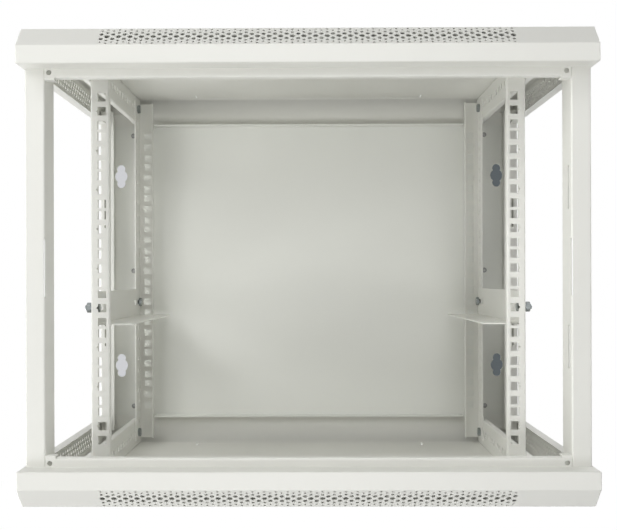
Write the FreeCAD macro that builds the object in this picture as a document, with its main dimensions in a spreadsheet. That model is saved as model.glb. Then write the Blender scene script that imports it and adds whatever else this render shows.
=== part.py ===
import FreeCAD, Part

import math
import os
import re

import Sketcher

# Wall mount rack cabinet, open front and sides.
# X runs to the right seen from the front, Y runs back towards the wall, Z runs up.
# The origin is under the middle of the cabinet, level with the lowest screw heads.
# Every piece is drawn round the middle of the cabinet and then lifted to its place.

SIZES = [
    ("cabinet_width", 600.0, "over the side walls of the covers"),
    ("cabinet_depth", 450.0, "front band to wall"),
    ("rack_units", 9, "usable height in rack units"),
    ("rack_unit", 44.45, "height of one rack unit"),
    ("rack_hole_spacing", 465.1, "between the two columns of square holes"),
    ("rack_hole_step", 15.875, "between square holes inside one unit"),
    ("rack_hole_size", 9.5, "side of a square hole"),
    ("rack_notch_depth", 1.6, "notch beside the middle hole of a unit"),
    ("rack_notch_height", 3.2, "height of that notch at the hole"),
    ("cover_height", 40.5, "folded height of a cover"),
    ("cover_sheet", 1.2, "sheet of the covers and the back panel"),
    ("band_height", 19.0, "upright band of the front edge"),
    ("lip_depth", 28.3, "front band to the front frame"),
    ("side_lip", 12.0, "inward lip under a cover's side wall"),
    ("rear_lip", 20.0, "inward lip under a cover's rear wall"),
    ("lip_gap", 1.0, "room between the lips and the posts"),
    ("vent_columns", 36, "columns of five holes in the sloped strip"),
    ("vent_pitch", 12.0, "between those columns"),
    ("vent_row_step", 5.4, "between the holes of one column"),
    ("vent_small", 2.6, "end holes of a column"),
    ("vent_medium", 3.4, "holes beside the large one"),
    ("vent_large", 5.6, "middle hole of a column"),
    ("vent_offset_small", 2.5, "end holes of the columns between"),
    ("vent_offset_large", 4.6, "middle holes of the columns between"),
    ("side_vent_columns", 28, "columns of holes in a side wall"),
    ("side_vent_pitch", 12.0, "between those columns"),
    ("side_vent_start", 78.0, "front band to the first column"),
    ("side_vent_drop", 19.0, "roof to the middle of the columns"),
    ("side_vent_step", 6.4, "between the rows of holes"),
    ("side_vent_hole", 4.6, "holes of the side walls"),
    ("knockout_width", 323.0, "cable entry outline, left to right"),
    ("knockout_side", 19.0, "cut sides of the cable entry outline"),
    ("knockout_slit", 1.6, "width of the cut line"),
    ("knockout_setback", 15.4, "wall to the cut line"),
    ("knockout_hole", 3.0, "small hole beside the outline"),
    ("knockout_hole_gap", 6.5, "outline to that hole"),
    ("frame_sheet", 1.5, "sheet of the posts, rails and brackets"),
    ("bend_radius", 0.5, "inner radius of the folds"),
    ("post_inset", 2.3, "cabinet side to the outer face of a post"),
    ("post_overlap", 18.5, "length of a post inside each cover"),
    ("front_post_width", 21.2, "face of a front post"),
    ("front_post_depth", 38.7, "folded sides of a front post"),
    ("lock_notch_height", 60.7, "notch for the door lock"),
    ("lock_notch_depth", 1.8, "notch for the door lock"),
    ("post_slot_height", 47.0, "long slot in a post"),
    ("post_slot_spacing", 169.0, "between the two long slots"),
    ("front_slot_width", 7.0, "long slot in the right front post"),
    ("front_slot_setback", 12.5, "post face to that slot"),
    ("rear_post_width", 53.0, "back of a rear post"),
    ("rear_post_depth", 28.8, "folded side of a rear post"),
    ("rear_post_lip", 19.0, "front lip of a rear post"),
    ("rear_slot_width", 3.0, "long slot in a rear post"),
    ("rear_slot_inset", 7.0, "outer face of the post to that slot"),
    ("rail_show", 9.475, "front rail seen past the cover"),
    ("rail_return", 10.0, "folded edge of a front rail"),
    ("rail_flange", 20.0, "flange of a front rail under the roof"),
    ("tab_width", 10.5, "hinge tab at each end of a front rail"),
    ("tab_drop", 2.5, "tab past the rail's edge"),
    ("tab_depth", 12.0, "folded edge of the tab"),
    ("hinge_hole", 5.5, "hole for the door's hinge pin"),
    ("hinge_hole_inset", 4.6, "end of the rail to the hinge hole"),
    ("hinge_hole_rise", 5.7, "rail's edge to the hinge hole"),
    ("panel_side_gap", 0.5, "back panel to the side of a rear post"),
    ("panel_flange", 24.0, "folded top and bottom of the back panel"),
    ("panel_rail_gap", 2.0, "that fold to a rack rail"),
    ("wall_hole_spacing", 275.0, "between the wall holes, up and down"),
    ("wall_hole_inset", 25.0, "outer face of a rear post to the wall holes"),
    ("wall_hole_middle", 18.0, "middle lobe of a wall hole"),
    ("wall_hole_end", 12.0, "upper and lower lobe of a wall hole"),
    ("wall_hole_step", 10.5, "between the lobes"),
    ("rack_rail_sheet", 1.5, "sheet of the rack rails and runners"),
    ("rack_rail_face", 21.0, "width of a rack rail's face"),
    ("rack_rail_margin", 12.45, "square holes to the rail's outer edge"),
    ("rack_rail_flange", 36.6, "folded side of a rack rail"),
    ("rack_rail_lip", 9.0, "folded inner edge of a rack rail"),
    ("rack_rail_end_gap", 10.0, "end of a rack rail to the cover's outside"),
    ("rack_front_setback", 108.0, "front band to the front rack rails"),
    ("rack_rear_setback", 15.4, "wall to the rear rack rails"),
    ("flange_bolt_setback", 18.3, "rack rail's face to its bolts"),
    ("flange_slot_step", 14.1, "edge of a unit to the side slots"),
    ("flange_slot_width", 4.5, "side slot of a rack rail"),
    ("flange_slot_height", 6.6, "side slot of a rack rail"),
    ("flange_round_hole", 3.4, "round side hole of a rack rail"),
    ("bracket_height", 37.0, "folded height of a side bracket"),
    ("bracket_flange", 7.0, "folded edges of a side bracket"),
    ("bracket_end_gap", 1.0, "bracket to the frame at each end"),
    ("bracket_slot_steps", 16, "slots from front bolt to rear bolt"),
    ("bracket_extra_front", 2, "more slots ahead of the front bolt"),
    ("bracket_extra_rear", 1, "more slots behind the rear bolt"),
    ("bracket_slot_height", 8.5, "slot of a side bracket"),
    ("runner_unit", 4, "rack unit from below that the runners are bolted at"),
    ("runner_ledge", 44.5, "ledge that carries the equipment"),
    ("runner_height", 38.2, "upright side of a runner"),
    ("runner_bolt_rise", 19.75, "underside of the ledge to the runner's bolts"),
    ("runner_end", 8.0, "bolt to the end of the runner"),
    ("runner_slot_reach", 36.0, "bolt to the inner end of its slot in a runner"),
    ("bolt_diameter", 6.0, "rack rail and runner bolts"),
    ("bolt_clearance", 0.4, "bolt holes over the bolt"),
    ("bolt_head_width", 10.0, "across the flats of heads and nuts"),
    ("bolt_head_height", 4.0, "hexagon head"),
    ("bolt_tail", 2.0, "bolt past its nut"),
    ("nut_height", 5.2, "hexagon nut"),
    ("thread_gap", 0.1, "nut and washers over the bolt"),
    ("washer_width", 12.0, "flat washer"),
    ("washer_height", 1.6, "flat washer"),
    ("spring_washer_width", 10.4, "split spring washer"),
    ("spring_washer_height", 1.6, "split spring washer"),
    ("spring_washer_split", 1.0, "gap of the split"),
    ("cover_screw_inset", 38.5, "cabinet side to a roof screw"),
    ("cover_screw_setback", 38.0, "front band to a roof screw"),
    ("cover_screw_head", 8.0, "head of a roof or floor screw"),
    ("cover_screw_head_height", 3.0, "height of that head"),
    ("cover_screw_diameter", 5.0, "roof or floor screw"),
    ("cover_screw_length", 9.0, "roof or floor screw under its head"),
    ("panel_screw_inset", 9.9, "inner edge of a rear post to a panel screw"),
    ("panel_screw_spacing", 196.5, "between panel screws, up and down"),
    ("panel_screw_head", 7.0, "head of a panel screw"),
    ("panel_screw_head_height", 2.4, "height of that head"),
    ("panel_screw_diameter", 4.0, "panel screw"),
    ("recess_share", 0.6, "cross recess over the width of the head"),
    ("recess_width", 1.1, "cross recess of the screws"),
    ("recess_depth", 1.4, "cross recess of the screws"),
    ("dome_share", 0.575, "radius of a screw's dome over its width"),
    ("dome_rise", 0.1, "dome cut off by the flat on top of a screw"),
]

# Places and lengths that follow from the sizes above
DERIVED = [
    ("frame_front", "lip_depth - cabinet_depth / 2"),
    ("rear_face", "cabinet_depth / 2"),
    ("half_height", "rack_units * rack_unit / 2 + cover_height + rail_show"),
    ("centre_height", "cover_screw_head_height + half_height"),
    ("opening_top", "half_height - cover_height - rail_show"),
    ("cover_edge", "half_height - cover_height"),
    ("roof_inside", "half_height - cover_sheet"),
    ("slope_size", "cover_height - band_height"),
    ("side_inside", "cabinet_width / 2 - cover_sheet"),
    ("wall_inside", "rear_face - cover_sheet"),
    ("post_outside", "cabinet_width / 2 - post_inset"),
    ("post_inside", "post_outside - front_post_width"),
    ("post_half_height", "cover_edge + post_overlap"),
    ("front_post_rear", "frame_front + front_post_depth"),
    ("rear_post_front", "wall_inside - rear_post_depth"),
    ("rear_post_inside", "post_outside - rear_post_width"),
    ("panel_back", "wall_inside - frame_sheet"),
    ("rack_outside", "rack_hole_spacing / 2 + rack_rail_margin"),
    ("rack_inside", "rack_outside - rack_rail_face"),
    ("rack_front", "rack_front_setback - cabinet_depth / 2"),
    ("rack_rear", "rear_face - rack_rear_setback"),
    ("rack_rail_half_height", "half_height - rack_rail_end_gap"),
    ("front_bolt", "rack_front + flange_bolt_setback"),
    ("rear_bolt", "rack_rear - flange_bolt_setback"),
    ("bracket_front", "frame_front + frame_sheet + rail_flange + bracket_end_gap"),
    ("bracket_rear", "panel_back - bracket_end_gap"),
    ("bracket_pitch", "(rear_bolt - front_bolt) / bracket_slot_steps"),
    ("bracket_slots", "bracket_slot_steps + bracket_extra_front + bracket_extra_rear + 1"),
    ("rail_bolt_level", "roof_inside - bracket_height / 2"),
    ("panel_fold_side", "rack_inside - panel_rail_gap"),
    ("bolt_hole", "bolt_diameter + bolt_clearance"),
    ("nut_hole", "bolt_diameter + 2 * thread_gap"),
    ("runner_bolt_level", "(runner_unit - 0.5 - rack_units / 2) * rack_unit"),
    ("runner_foot", "runner_bolt_level - runner_bolt_rise"),
    ("runner_front", "front_bolt - runner_end"),
    ("runner_rear", "rear_bolt + runner_end"),
    ("washer_stack", "washer_height + spring_washer_height"),
]

NAMES = {entry[0] for entry in SIZES} | {entry[0] for entry in DERIVED}

# Size at which a sketch's first geometry is drawn, before its constraints take over
START = 10.0

# Sides of the ventilation holes, which are round on the real cabinet
SQUARE = 4
HEXAGON = 6

# Points nearer than this count as one
TOUCH = 0.0001

# Half turns round the middle of the cabinet, which place a like piece on its other sides
UPWARD = FreeCAD.Vector(0, 0, 1)
AS_DRAWN = FreeCAD.Rotation()
TURNED_ABOUT_X = FreeCAD.Rotation(FreeCAD.Vector(1, 0, 0), 180)
TURNED_ABOUT_Y = FreeCAD.Rotation(FreeCAD.Vector(0, 1, 0), 180)
TURNED_ABOUT_Z = FreeCAD.Rotation(FreeCAD.Vector(0, 0, 1), 180)

# Tilt of an upright sketch into the sloped strip of a cover
SLOPED = FreeCAD.Rotation(FreeCAD.Vector(1, 0, 0), -45)

# Quarter turns that lay an upright fastener down, its head to that side
HEAD_TO_LEFT = FreeCAD.Rotation(FreeCAD.Vector(0, 1, 0), -90)
HEAD_TO_RIGHT = FreeCAD.Rotation(FreeCAD.Vector(0, 1, 0), 90)
HEAD_TO_FRONT = FreeCAD.Rotation(FreeCAD.Vector(1, 0, 0), 90)

doc = FreeCAD.newDocument("WallRackCabinet")
sub_parts = []


def cells(text):
    """An expression in which every size name points at its cell."""
    return re.sub(r"[a-z_]+", lambda m: "Sizes." + m[0] if m[0] in NAMES else m[0], text)


def fill_sheet():
    """Writes the driving sizes and what follows from them into the spreadsheet."""
    sheet = doc.addObject("Spreadsheet::Sheet", "Sizes")
    for row, (name, value, note) in enumerate(SIZES, start=1):
        sheet.set(f"A{row}", name)
        sheet.set(f"B{row}", str(value))
        sheet.set(f"C{row}", note)
        sheet.setAlias(f"B{row}", name)
    for row, (name, text) in enumerate(DERIVED, start=len(SIZES) + 1):
        sheet.set(f"A{row}", name)
        sheet.set(f"B{row}", "=" + text)
        sheet.setAlias(f"B{row}", name)
    doc.recompute()


def new_body(label):
    """An empty body for one sub-part."""
    return doc.addObject("PartDesign::Body", label)


def origin_feature(body, role):
    """One of the body's own origin planes or axes."""
    return next(f for f in body.Origin.OriginFeatures if f.Role == role)


def new_sketch(body, name, plane, offset="0"):
    """An empty sketch on an origin plane, moved along the plane's normal by offset."""
    sketch = body.newObject("Sketcher::SketchObject", name)
    sketch.AttachmentSupport = [(origin_feature(body, plane), "")]
    sketch.MapMode = "FlatFace"
    sketch.setExpression(".AttachmentOffset.Base.z", cells(offset))
    return sketch


def hold_point(sketch, geometry, end, across, up):
    """Ties one point of the sketch to its two coordinates."""
    for kind, text in (("DistanceX", across), ("DistanceY", up)):
        if text is None:
            continue
        here = sketch.getPoint(geometry, end)
        value = here.x if kind == "DistanceX" else here.y
        index = sketch.addConstraint(Sketcher.Constraint(kind, -1, 1, geometry, end, value))
        sketch.setExpression(f"Constraints[{index}]", cells(text))


def outline(sketch, points):
    """A closed outline of straight lines through points given as pairs of expressions."""
    count = len(points)
    corners = []
    for k in range(count):
        turn = 2 * math.pi * k / count
        corners.append(FreeCAD.Vector(START * math.cos(turn), START * math.sin(turn), 0))
    lines = []
    for k in range(count):
        lines.append(sketch.addGeometry(Part.LineSegment(corners[k], corners[(k + 1) % count])))
    for k in range(count):
        sketch.addConstraint(Sketcher.Constraint("Coincident", lines[k], 2, lines[(k + 1) % count], 1))
    for k, (across, up) in enumerate(points):
        hold_point(sketch, lines[k], 1, across, up)


def rectangle(sketch, left, right, low, high):
    """A rectangle between four expressions."""
    outline(sketch, [(left, low), (right, low), (right, high), (left, high)])


def circle(sketch, across, up, diameter):
    """A circle at two expressions, with its diameter from a cell."""
    ring = sketch.addGeometry(Part.Circle(FreeCAD.Vector(0, 0, 0), UPWARD, START / 2))
    index = sketch.addConstraint(Sketcher.Constraint("Diameter", ring, START))
    sketch.setExpression(f"Constraints[{index}]", cells(diameter))
    hold_point(sketch, ring, 3, across, up)


def vent(sketch, across, up, diameter, sides):
    """A ventilation hole as a polygon with the area of the round hole of that diameter."""
    radius = math.sqrt(math.pi / (2 * sides * math.sin(2 * math.pi / sides)))
    points = []
    for k in range(sides):
        turn = 2 * math.pi * (k + 0.5) / sides
        over = radius * math.cos(turn)
        high = radius * math.sin(turn)
        points.append((f"{across} + {over:.6f} * {diameter}", f"{up} + {high:.6f} * {diameter}"))
    outline(sketch, points)


def slot(sketch, across, up, width, height):
    """An upright slot with round ends, centred at two expressions, height over the ends."""
    low_right = FreeCAD.Vector(START, -START, 0)
    high_right = FreeCAD.Vector(START, START, 0)
    high_left = FreeCAD.Vector(-START, START, 0)
    low_left = FreeCAD.Vector(-START, -START, 0)
    up_arc = Part.Circle(FreeCAD.Vector(0, START, 0), UPWARD, START)
    down_arc = Part.Circle(FreeCAD.Vector(0, -START, 0), UPWARD, START)
    right = sketch.addGeometry(Part.LineSegment(low_right, high_right))
    top = sketch.addGeometry(Part.ArcOfCircle(up_arc, 0, math.pi))
    left = sketch.addGeometry(Part.LineSegment(high_left, low_left))
    bottom = sketch.addGeometry(Part.ArcOfCircle(down_arc, math.pi, 2 * math.pi))
    for first, second in ((right, top), (top, left), (left, bottom), (bottom, right)):
        sketch.addConstraint(Sketcher.Constraint("Coincident", first, 2, second, 1))
    reach = f"(({height}) - ({width})) / 2"
    hold_point(sketch, right, 1, f"({across}) + ({width}) / 2", f"({up}) - {reach}")
    hold_point(sketch, right, 2, f"({across}) + ({width}) / 2", f"({up}) + {reach}")
    hold_point(sketch, left, 1, f"({across}) - ({width}) / 2", f"({up}) + {reach}")
    hold_point(sketch, left, 2, f"({across}) - ({width}) / 2", f"({up}) - {reach}")
    hold_point(sketch, top, 3, None, f"({up}) + {reach}")
    hold_point(sketch, bottom, 3, None, f"({up}) - {reach}")


def add_feature(body, kind, name, sketch, length, symmetric):
    """A pad or a pocket of that length, on both sides of its sketch if symmetric."""
    feature = body.newObject(kind, name)
    feature.Profile = sketch
    feature.SideType = "Symmetric" if symmetric else "One side"
    feature.setExpression("Length", cells(length))
    return feature


def pad(body, name, sketch, length, symmetric=True):
    """Adds sheet along the sketch's normal."""
    return add_feature(body, "PartDesign::Pad", name, sketch, length, symmetric)


def punch(body, name, sketch, sheet):
    """Cuts the sketch through a sheet whose middle it lies in."""
    return add_feature(body, "PartDesign::Pocket", name, sketch, f"3 * {sheet}", True)


def fillet(body, name, base, edges, radius):
    """Rounds those edges of the base feature."""
    feature = body.newObject("PartDesign::Fillet", name)
    feature.Base = (base, edges)
    feature.setExpression("Radius", cells(radius))
    return feature


def edges_at(shape, sketch, corners):
    """Names of the edges that run from those corners of a sketch along its normal."""
    normal = sketch.Placement.Rotation.multVec(UPWARD)
    found = []
    for corner in corners:
        point = sketch.Placement.multVec(sketch.getPoint(corner, 1))
        for number, edge in enumerate(shape.Edges, start=1):
            start = edge.Vertexes[0].Point
            end = edge.Vertexes[-1].Point
            parallel = (end - start).cross(normal).Length < TOUCH and (end - start).Length > TOUCH
            if parallel and (point - start).cross(normal).Length < TOUCH:
                found.append(f"Edge{number}")
    return found


def round_folds(body, sketch, outer, inner, sheet):
    """Rounds the folds of a channel at those corners of its section."""
    doc.recompute()
    base = body.Tip
    outer_edges = edges_at(base.Shape, sketch, outer)
    folded = fillet(body, base.Name + "OuterFolds", base, outer_edges, f"bend_radius + {sheet}")
    doc.recompute()
    inner_edges = edges_at(folded.Shape, sketch, inner)
    fillet(body, base.Name + "InnerFolds", folded, inner_edges, "bend_radius")


def row_of(body, name, feature, axis, length, count):
    """Repeats a feature along one of the body's axes, over that whole length."""
    pattern = body.newObject("PartDesign::LinearPattern", name)
    pattern.Originals = [feature]
    pattern.Direction = (origin_feature(body, axis), [""])
    pattern.setExpression("Length", cells(length))
    pattern.setExpression("Occurrences", cells(count))
    body.Tip = pattern
    return pattern


def place(piece, rotation=AS_DRAWN, along="0"):
    """Turns a finished piece round the middle of the cabinet and lifts it to its height."""
    piece.Placement = FreeCAD.Placement(FreeCAD.Vector(0, 0, 0), rotation)
    piece.setExpression(".Placement.Base.y", cells(along))
    piece.setExpression(".Placement.Base.z", cells("centre_height"))
    sub_parts.append(piece)
    doc.recompute()


def top_cover(label):
    """Roof: one folded pan with a sloped and perforated front strip."""
    body = new_body(label)
    outside = new_sketch(body, "OutsideProfile", "YZ_Plane")
    outline(outside, [
        ("-rear_face", "cover_edge"),
        ("-rear_face", "cover_edge + band_height"),
        ("slope_size - rear_face", "half_height"),
        ("rear_face", "half_height"),
        ("rear_face", "cover_edge"),
    ])
    block = pad(body, "Outside", outside, "cabinet_width")
    doc.recompute()
    every_edge = [f"Edge{number}" for number in range(1, len(block.Shape.Edges) + 1)]
    fillet(body, "OutsideFolds", block, every_edge, "bend_radius + cover_sheet")
    # The fold's inner line stays one sheet inside the slope
    inside = new_sketch(body, "InsideProfile", "YZ_Plane")
    bend = "cover_sheet * tan(22.5)"
    outline(inside, [
        ("cover_sheet - rear_face", "cover_edge + cover_sheet"),
        ("cover_sheet - rear_face", f"cover_edge + band_height - {bend}"),
        (f"slope_size + {bend} - rear_face", "roof_inside"),
        ("wall_inside", "roof_inside"),
        ("wall_inside", "cover_edge + cover_sheet"),
    ])
    add_feature(body, "PartDesign::Pocket", "Inside", inside, "2 * side_inside", True)
    opening = new_sketch(body, "OpeningOutline", "XY_Plane", "cover_edge + cover_sheet / 2")
    half = [
        ("side_inside", "frame_front"),
        ("side_inside", "front_post_rear + lip_gap"),
        ("cabinet_width / 2 - side_lip", "front_post_rear + lip_gap"),
        ("cabinet_width / 2 - side_lip", "rear_post_front - lip_gap"),
        ("side_inside", "rear_post_front - lip_gap"),
        ("side_inside", "wall_inside"),
        ("panel_fold_side", "wall_inside"),
        ("panel_fold_side", "wall_inside - rear_lip"),
    ]
    other_half = [(f"-({across})", along) for across, along in reversed(half)]
    outline(opening, half + other_half)
    add_feature(body, "PartDesign::Pocket", "Opening", opening, "cover_sheet", True)
    cable_entry(body)
    for name, vents, axis, length, count in (cover_side_vents(body), *cover_vents(body)):
        row_of(body, name, vents, axis, length, count)
    place(body)
    return body


def cover_vents(body):
    """First columns of the graded holes in the sloped strip, with how each is repeated."""
    main = (("vent_small", SQUARE), ("vent_medium", SQUARE), ("vent_large", HEXAGON),
            ("vent_medium", SQUARE), ("vent_small", SQUARE))
    between = (("vent_offset_small", SQUARE), ("vent_offset_large", SQUARE),
               ("vent_offset_large", SQUARE), ("vent_offset_small", SQUARE))
    rows = []
    for name, column, count in (("Main", main, "vent_columns"), ("Between", between, "vent_columns + 1")):
        sketch = new_sketch(body, name + "VentColumn", "XZ_Plane")
        sketch.AttachmentOffset = FreeCAD.Placement(FreeCAD.Vector(0, 0, 0), SLOPED)
        level = "cover_edge + band_height + (slope_size - cover_sheet / sqrt(2)) / 2"
        depth = "rear_face - (slope_size + cover_sheet / sqrt(2)) / 2"
        sketch.setExpression(".AttachmentOffset.Base.y", cells(level))
        sketch.setExpression(".AttachmentOffset.Base.z", cells(depth))
        length = f"({count} - 1) * vent_pitch"
        for k, (diameter, sides) in enumerate(column):
            step = k - (len(column) - 1) / 2
            vent(sketch, f"-{length} / 2", f"{step} * vent_row_step", diameter, sides)
        vents = punch(body, name + "Vents", sketch, "cover_sheet")
        rows.append((name + "VentRow", vents, "X_Axis", length, count))
    return rows


def cover_side_vents(body):
    """First holes of three staggered rows, cut through both side walls at once."""
    sketch = new_sketch(body, "SideVentColumn", "YZ_Plane")
    level = "half_height - side_vent_drop"
    along = "side_vent_start - rear_face"
    for up in (f"{level} - side_vent_step", f"{level} + side_vent_step"):
        vent(sketch, along, up, "side_vent_hole", SQUARE)
    vent(sketch, f"{along} + side_vent_pitch / 2", level, "side_vent_hole", SQUARE)
    vents = add_feature(body, "PartDesign::Pocket", "SideVents", sketch, "cabinet_width + cover_sheet", True)
    length = "(side_vent_columns - 1) * side_vent_pitch"
    return "SideVentRow", vents, "Y_Axis", length, "side_vent_columns"


def cable_entry(body):
    """Cut line of the cable entry near the wall, with a small hole at each side."""
    sketch = new_sketch(body, "CableEntry", "XY_Plane", "half_height - cover_sheet / 2")
    far = "rear_face - knockout_setback"
    near = f"{far} - knockout_side"
    half = "knockout_width / 2"
    outline(sketch, [
        (f"-({half})", near),
        (f"knockout_slit - {half}", near),
        (f"knockout_slit - {half}", f"{far} - knockout_slit"),
        (f"{half} - knockout_slit", f"{far} - knockout_slit"),
        (f"{half} - knockout_slit", near),
        (half, near),
        (half, far),
        (f"-({half})", far),
    ])
    circle(sketch, f"{half} + knockout_hole_gap", far, "knockout_hole")
    circle(sketch, f"-({half} + knockout_hole_gap)", far, "knockout_hole")
    for side in ("1", "-1"):
        circle(sketch, f"{side} * (cabinet_width / 2 - cover_screw_inset)",
               "cover_screw_setback - rear_face", "cover_screw_diameter + bolt_clearance")
    punch(body, "CableEntryCut", sketch, "cover_sheet")


def bottom_cover(label, roof):
    """Floor: the roof's pan, mirrored about the middle of the cabinet."""
    floor = doc.addObject("Part::Mirroring", label)
    floor.Source = roof
    floor.Normal = UPWARD
    floor.setExpression(".Base.z", cells("centre_height"))
    sub_parts.append(floor)
    doc.recompute()


def front_post(label, side, slotted):
    """Front post: a folded channel with the lock notch in the inner edge of its face."""
    body = new_body(label)
    section = new_sketch(body, "Section", "XY_Plane")
    channel = [
        ("post_inside", "frame_front"),
        ("post_outside", "frame_front"),
        ("post_outside", "front_post_rear"),
        ("post_outside - frame_sheet", "front_post_rear"),
        ("post_outside - frame_sheet", "frame_front + frame_sheet"),
        ("post_inside + frame_sheet", "frame_front + frame_sheet"),
        ("post_inside + frame_sheet", "front_post_rear"),
        ("post_inside", "front_post_rear"),
    ]
    outline(section, [(f"{side} * ({across})", along) for across, along in channel])
    pad(body, "Channel", section, "2 * post_half_height")
    round_folds(body, section, (0, 1), (4, 5), "frame_sheet")
    notch = new_sketch(body, "LockNotch", "XZ_Plane", "-(frame_front + lock_notch_depth)")
    rectangle(notch, f"{side} * (post_inside - frame_sheet)", f"{side} * (post_inside + lock_notch_depth)",
              "-lock_notch_height / 2", "lock_notch_height / 2")
    punch(body, "Notch", notch, "lock_notch_depth")
    if slotted:
        slots = new_sketch(body, "LongSlots", "YZ_Plane", f"{side} * (post_inside + frame_sheet / 2)")
        for end in ("1", "-1"):
            slot(slots, "frame_front + front_slot_setback", f"{end} * post_slot_spacing / 2",
                 "front_slot_width", "post_slot_height")
        punch(body, "Slots", slots, "frame_sheet")
    place(body)


def rear_post(label, side):
    """Rear post: a folded channel whose back carries the wall holes."""
    body = new_body(label)
    section = new_sketch(body, "Section", "XY_Plane")
    channel = [
        ("rear_post_inside", "wall_inside"),
        ("post_outside", "wall_inside"),
        ("post_outside", "rear_post_front"),
        ("post_outside - rear_post_lip", "rear_post_front"),
        ("post_outside - rear_post_lip", "rear_post_front + frame_sheet"),
        ("post_outside - frame_sheet", "rear_post_front + frame_sheet"),
        ("post_outside - frame_sheet", "panel_back"),
        ("rear_post_inside", "panel_back"),
    ]
    outline(section, [(f"{side} * ({across})", along) for across, along in channel])
    pad(body, "Channel", section, "2 * post_half_height")
    round_folds(body, section, (1, 2), (5, 6), "frame_sheet")
    slots = new_sketch(body, "LongSlots", "XZ_Plane", "-(rear_post_front + frame_sheet / 2)")
    for end in ("1", "-1"):
        slot(slots, f"{side} * (post_outside - rear_slot_inset)", f"{end} * post_slot_spacing / 2",
             "rear_slot_width", "post_slot_height")
    punch(body, "Slots", slots, "frame_sheet")
    wall_holes(body, (side,), "wall_inside - frame_sheet / 2", "frame_sheet")
    panel_screw_holes(body, (side,), "wall_inside - frame_sheet / 2", "frame_sheet")
    place(body)


def wall_holes(body, sides, depth, sheet):
    """Wall mounting holes: a large middle lobe with a smaller one above and below."""
    middles = new_sketch(body, "WallHoleMiddles", "XZ_Plane", f"-({depth})")
    ends = new_sketch(body, "WallHoleEnds", "XZ_Plane", f"-({depth})")
    for side in sides:
        across = f"{side} * (post_outside - wall_hole_inset)"
        for end in ("1", "-1"):
            level = f"{end} * wall_hole_spacing / 2"
            circle(middles, across, level, "wall_hole_middle")
            circle(ends, across, f"{level} + wall_hole_step", "wall_hole_end")
            circle(ends, across, f"{level} - wall_hole_step", "wall_hole_end")
    punch(body, "WallMiddles", middles, sheet)
    punch(body, "WallEnds", ends, sheet)


def panel_screw_holes(body, sides, depth, sheet):
    """Holes for the screws that hold the back panel to the rear posts."""
    sketch = new_sketch(body, "PanelScrewHoles", "XZ_Plane", f"-({depth})")
    for side in sides:
        for step in (-1, 0, 1):
            circle(sketch, f"{side} * (rear_post_inside + panel_screw_inset)",
                   f"{step} * panel_screw_spacing", "panel_screw_diameter + 2 * thread_gap")
    punch(body, "PanelScrews", sketch, sheet)


def back_panel(label):
    """Back panel: a plate between the covers with its top and bottom folded forward."""
    body = new_body(label)
    half = "(post_outside - frame_sheet - panel_side_gap)"
    plate = new_sketch(body, "PlateOutline", "XZ_Plane", "-panel_back")
    rectangle(plate, f"-{half}", half, "-cover_edge", "cover_edge")
    pad(body, "Plate", plate, "cover_sheet", symmetric=False)
    for name, end in (("Top", "1"), ("Bottom", "-1")):
        fold = new_sketch(body, name + "FoldSection", "YZ_Plane")
        rectangle(fold, "panel_back - panel_flange", "panel_back - cover_sheet / 2",
                  f"{end} * (cover_edge - cover_sheet)", f"{end} * cover_edge")
        pad(body, name + "Fold", fold, "2 * panel_fold_side")
    wall_holes(body, ("1", "-1"), "panel_back - cover_sheet / 2", "cover_sheet")
    panel_screw_holes(body, ("1", "-1"), "panel_back - cover_sheet / 2", "cover_sheet")
    place(body)


def front_rail(label, rotation):
    """Front rail: a channel behind the cover's edge with a hinge tab at each end."""
    body = new_body(label)
    section = new_sketch(body, "Section", "YZ_Plane")
    outline(section, [
        ("frame_front", "opening_top"),
        ("frame_front", "roof_inside"),
        ("frame_front + frame_sheet + rail_flange", "roof_inside"),
        ("frame_front + frame_sheet + rail_flange", "roof_inside - frame_sheet"),
        ("frame_front + frame_sheet", "roof_inside - frame_sheet"),
        ("frame_front + frame_sheet", "opening_top + frame_sheet"),
        ("frame_front + rail_return", "opening_top + frame_sheet"),
        ("frame_front + rail_return", "opening_top"),
    ])
    pad(body, "Channel", section, "2 * post_inside")
    round_folds(body, section, (0, 1), (4, 5), "frame_sheet")
    for name, side in (("Right", "1"), ("Left", "-1")):
        tab = new_sketch(body, name + "TabSection", "YZ_Plane", f"{side} * (post_inside - tab_width / 2)")
        outline(tab, [
            ("frame_front", "opening_top - tab_drop"),
            ("frame_front + tab_depth", "opening_top - tab_drop"),
            ("frame_front + tab_depth", "opening_top - tab_drop + frame_sheet"),
            ("frame_front + frame_sheet", "opening_top - tab_drop + frame_sheet"),
            ("frame_front + frame_sheet", "opening_top + frame_sheet"),
            ("frame_front", "opening_top + frame_sheet"),
        ])
        pad(body, name + "Tab", tab, "tab_width")
    round_folds(body, tab, (0,), (3,), "frame_sheet")
    hinge = new_sketch(body, "HingeHoles", "XZ_Plane", "-(frame_front + frame_sheet / 2)")
    for side in ("1", "-1"):
        across = f"{side} * (post_inside - hinge_hole_inset)"
        circle(hinge, across, "opening_top + hinge_hole_rise", "hinge_hole")
    punch(body, "Hinges", hinge, "frame_sheet")
    screws = new_sketch(body, "ScrewHoles", "XY_Plane", "roof_inside - frame_sheet / 2")
    for side in ("1", "-1"):
        circle(screws, f"{side} * (cabinet_width / 2 - cover_screw_inset)",
               "cover_screw_setback - rear_face", "cover_screw_diameter + 2 * thread_gap")
    punch(body, "Screws", screws, "frame_sheet")
    place(body, rotation)


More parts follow.
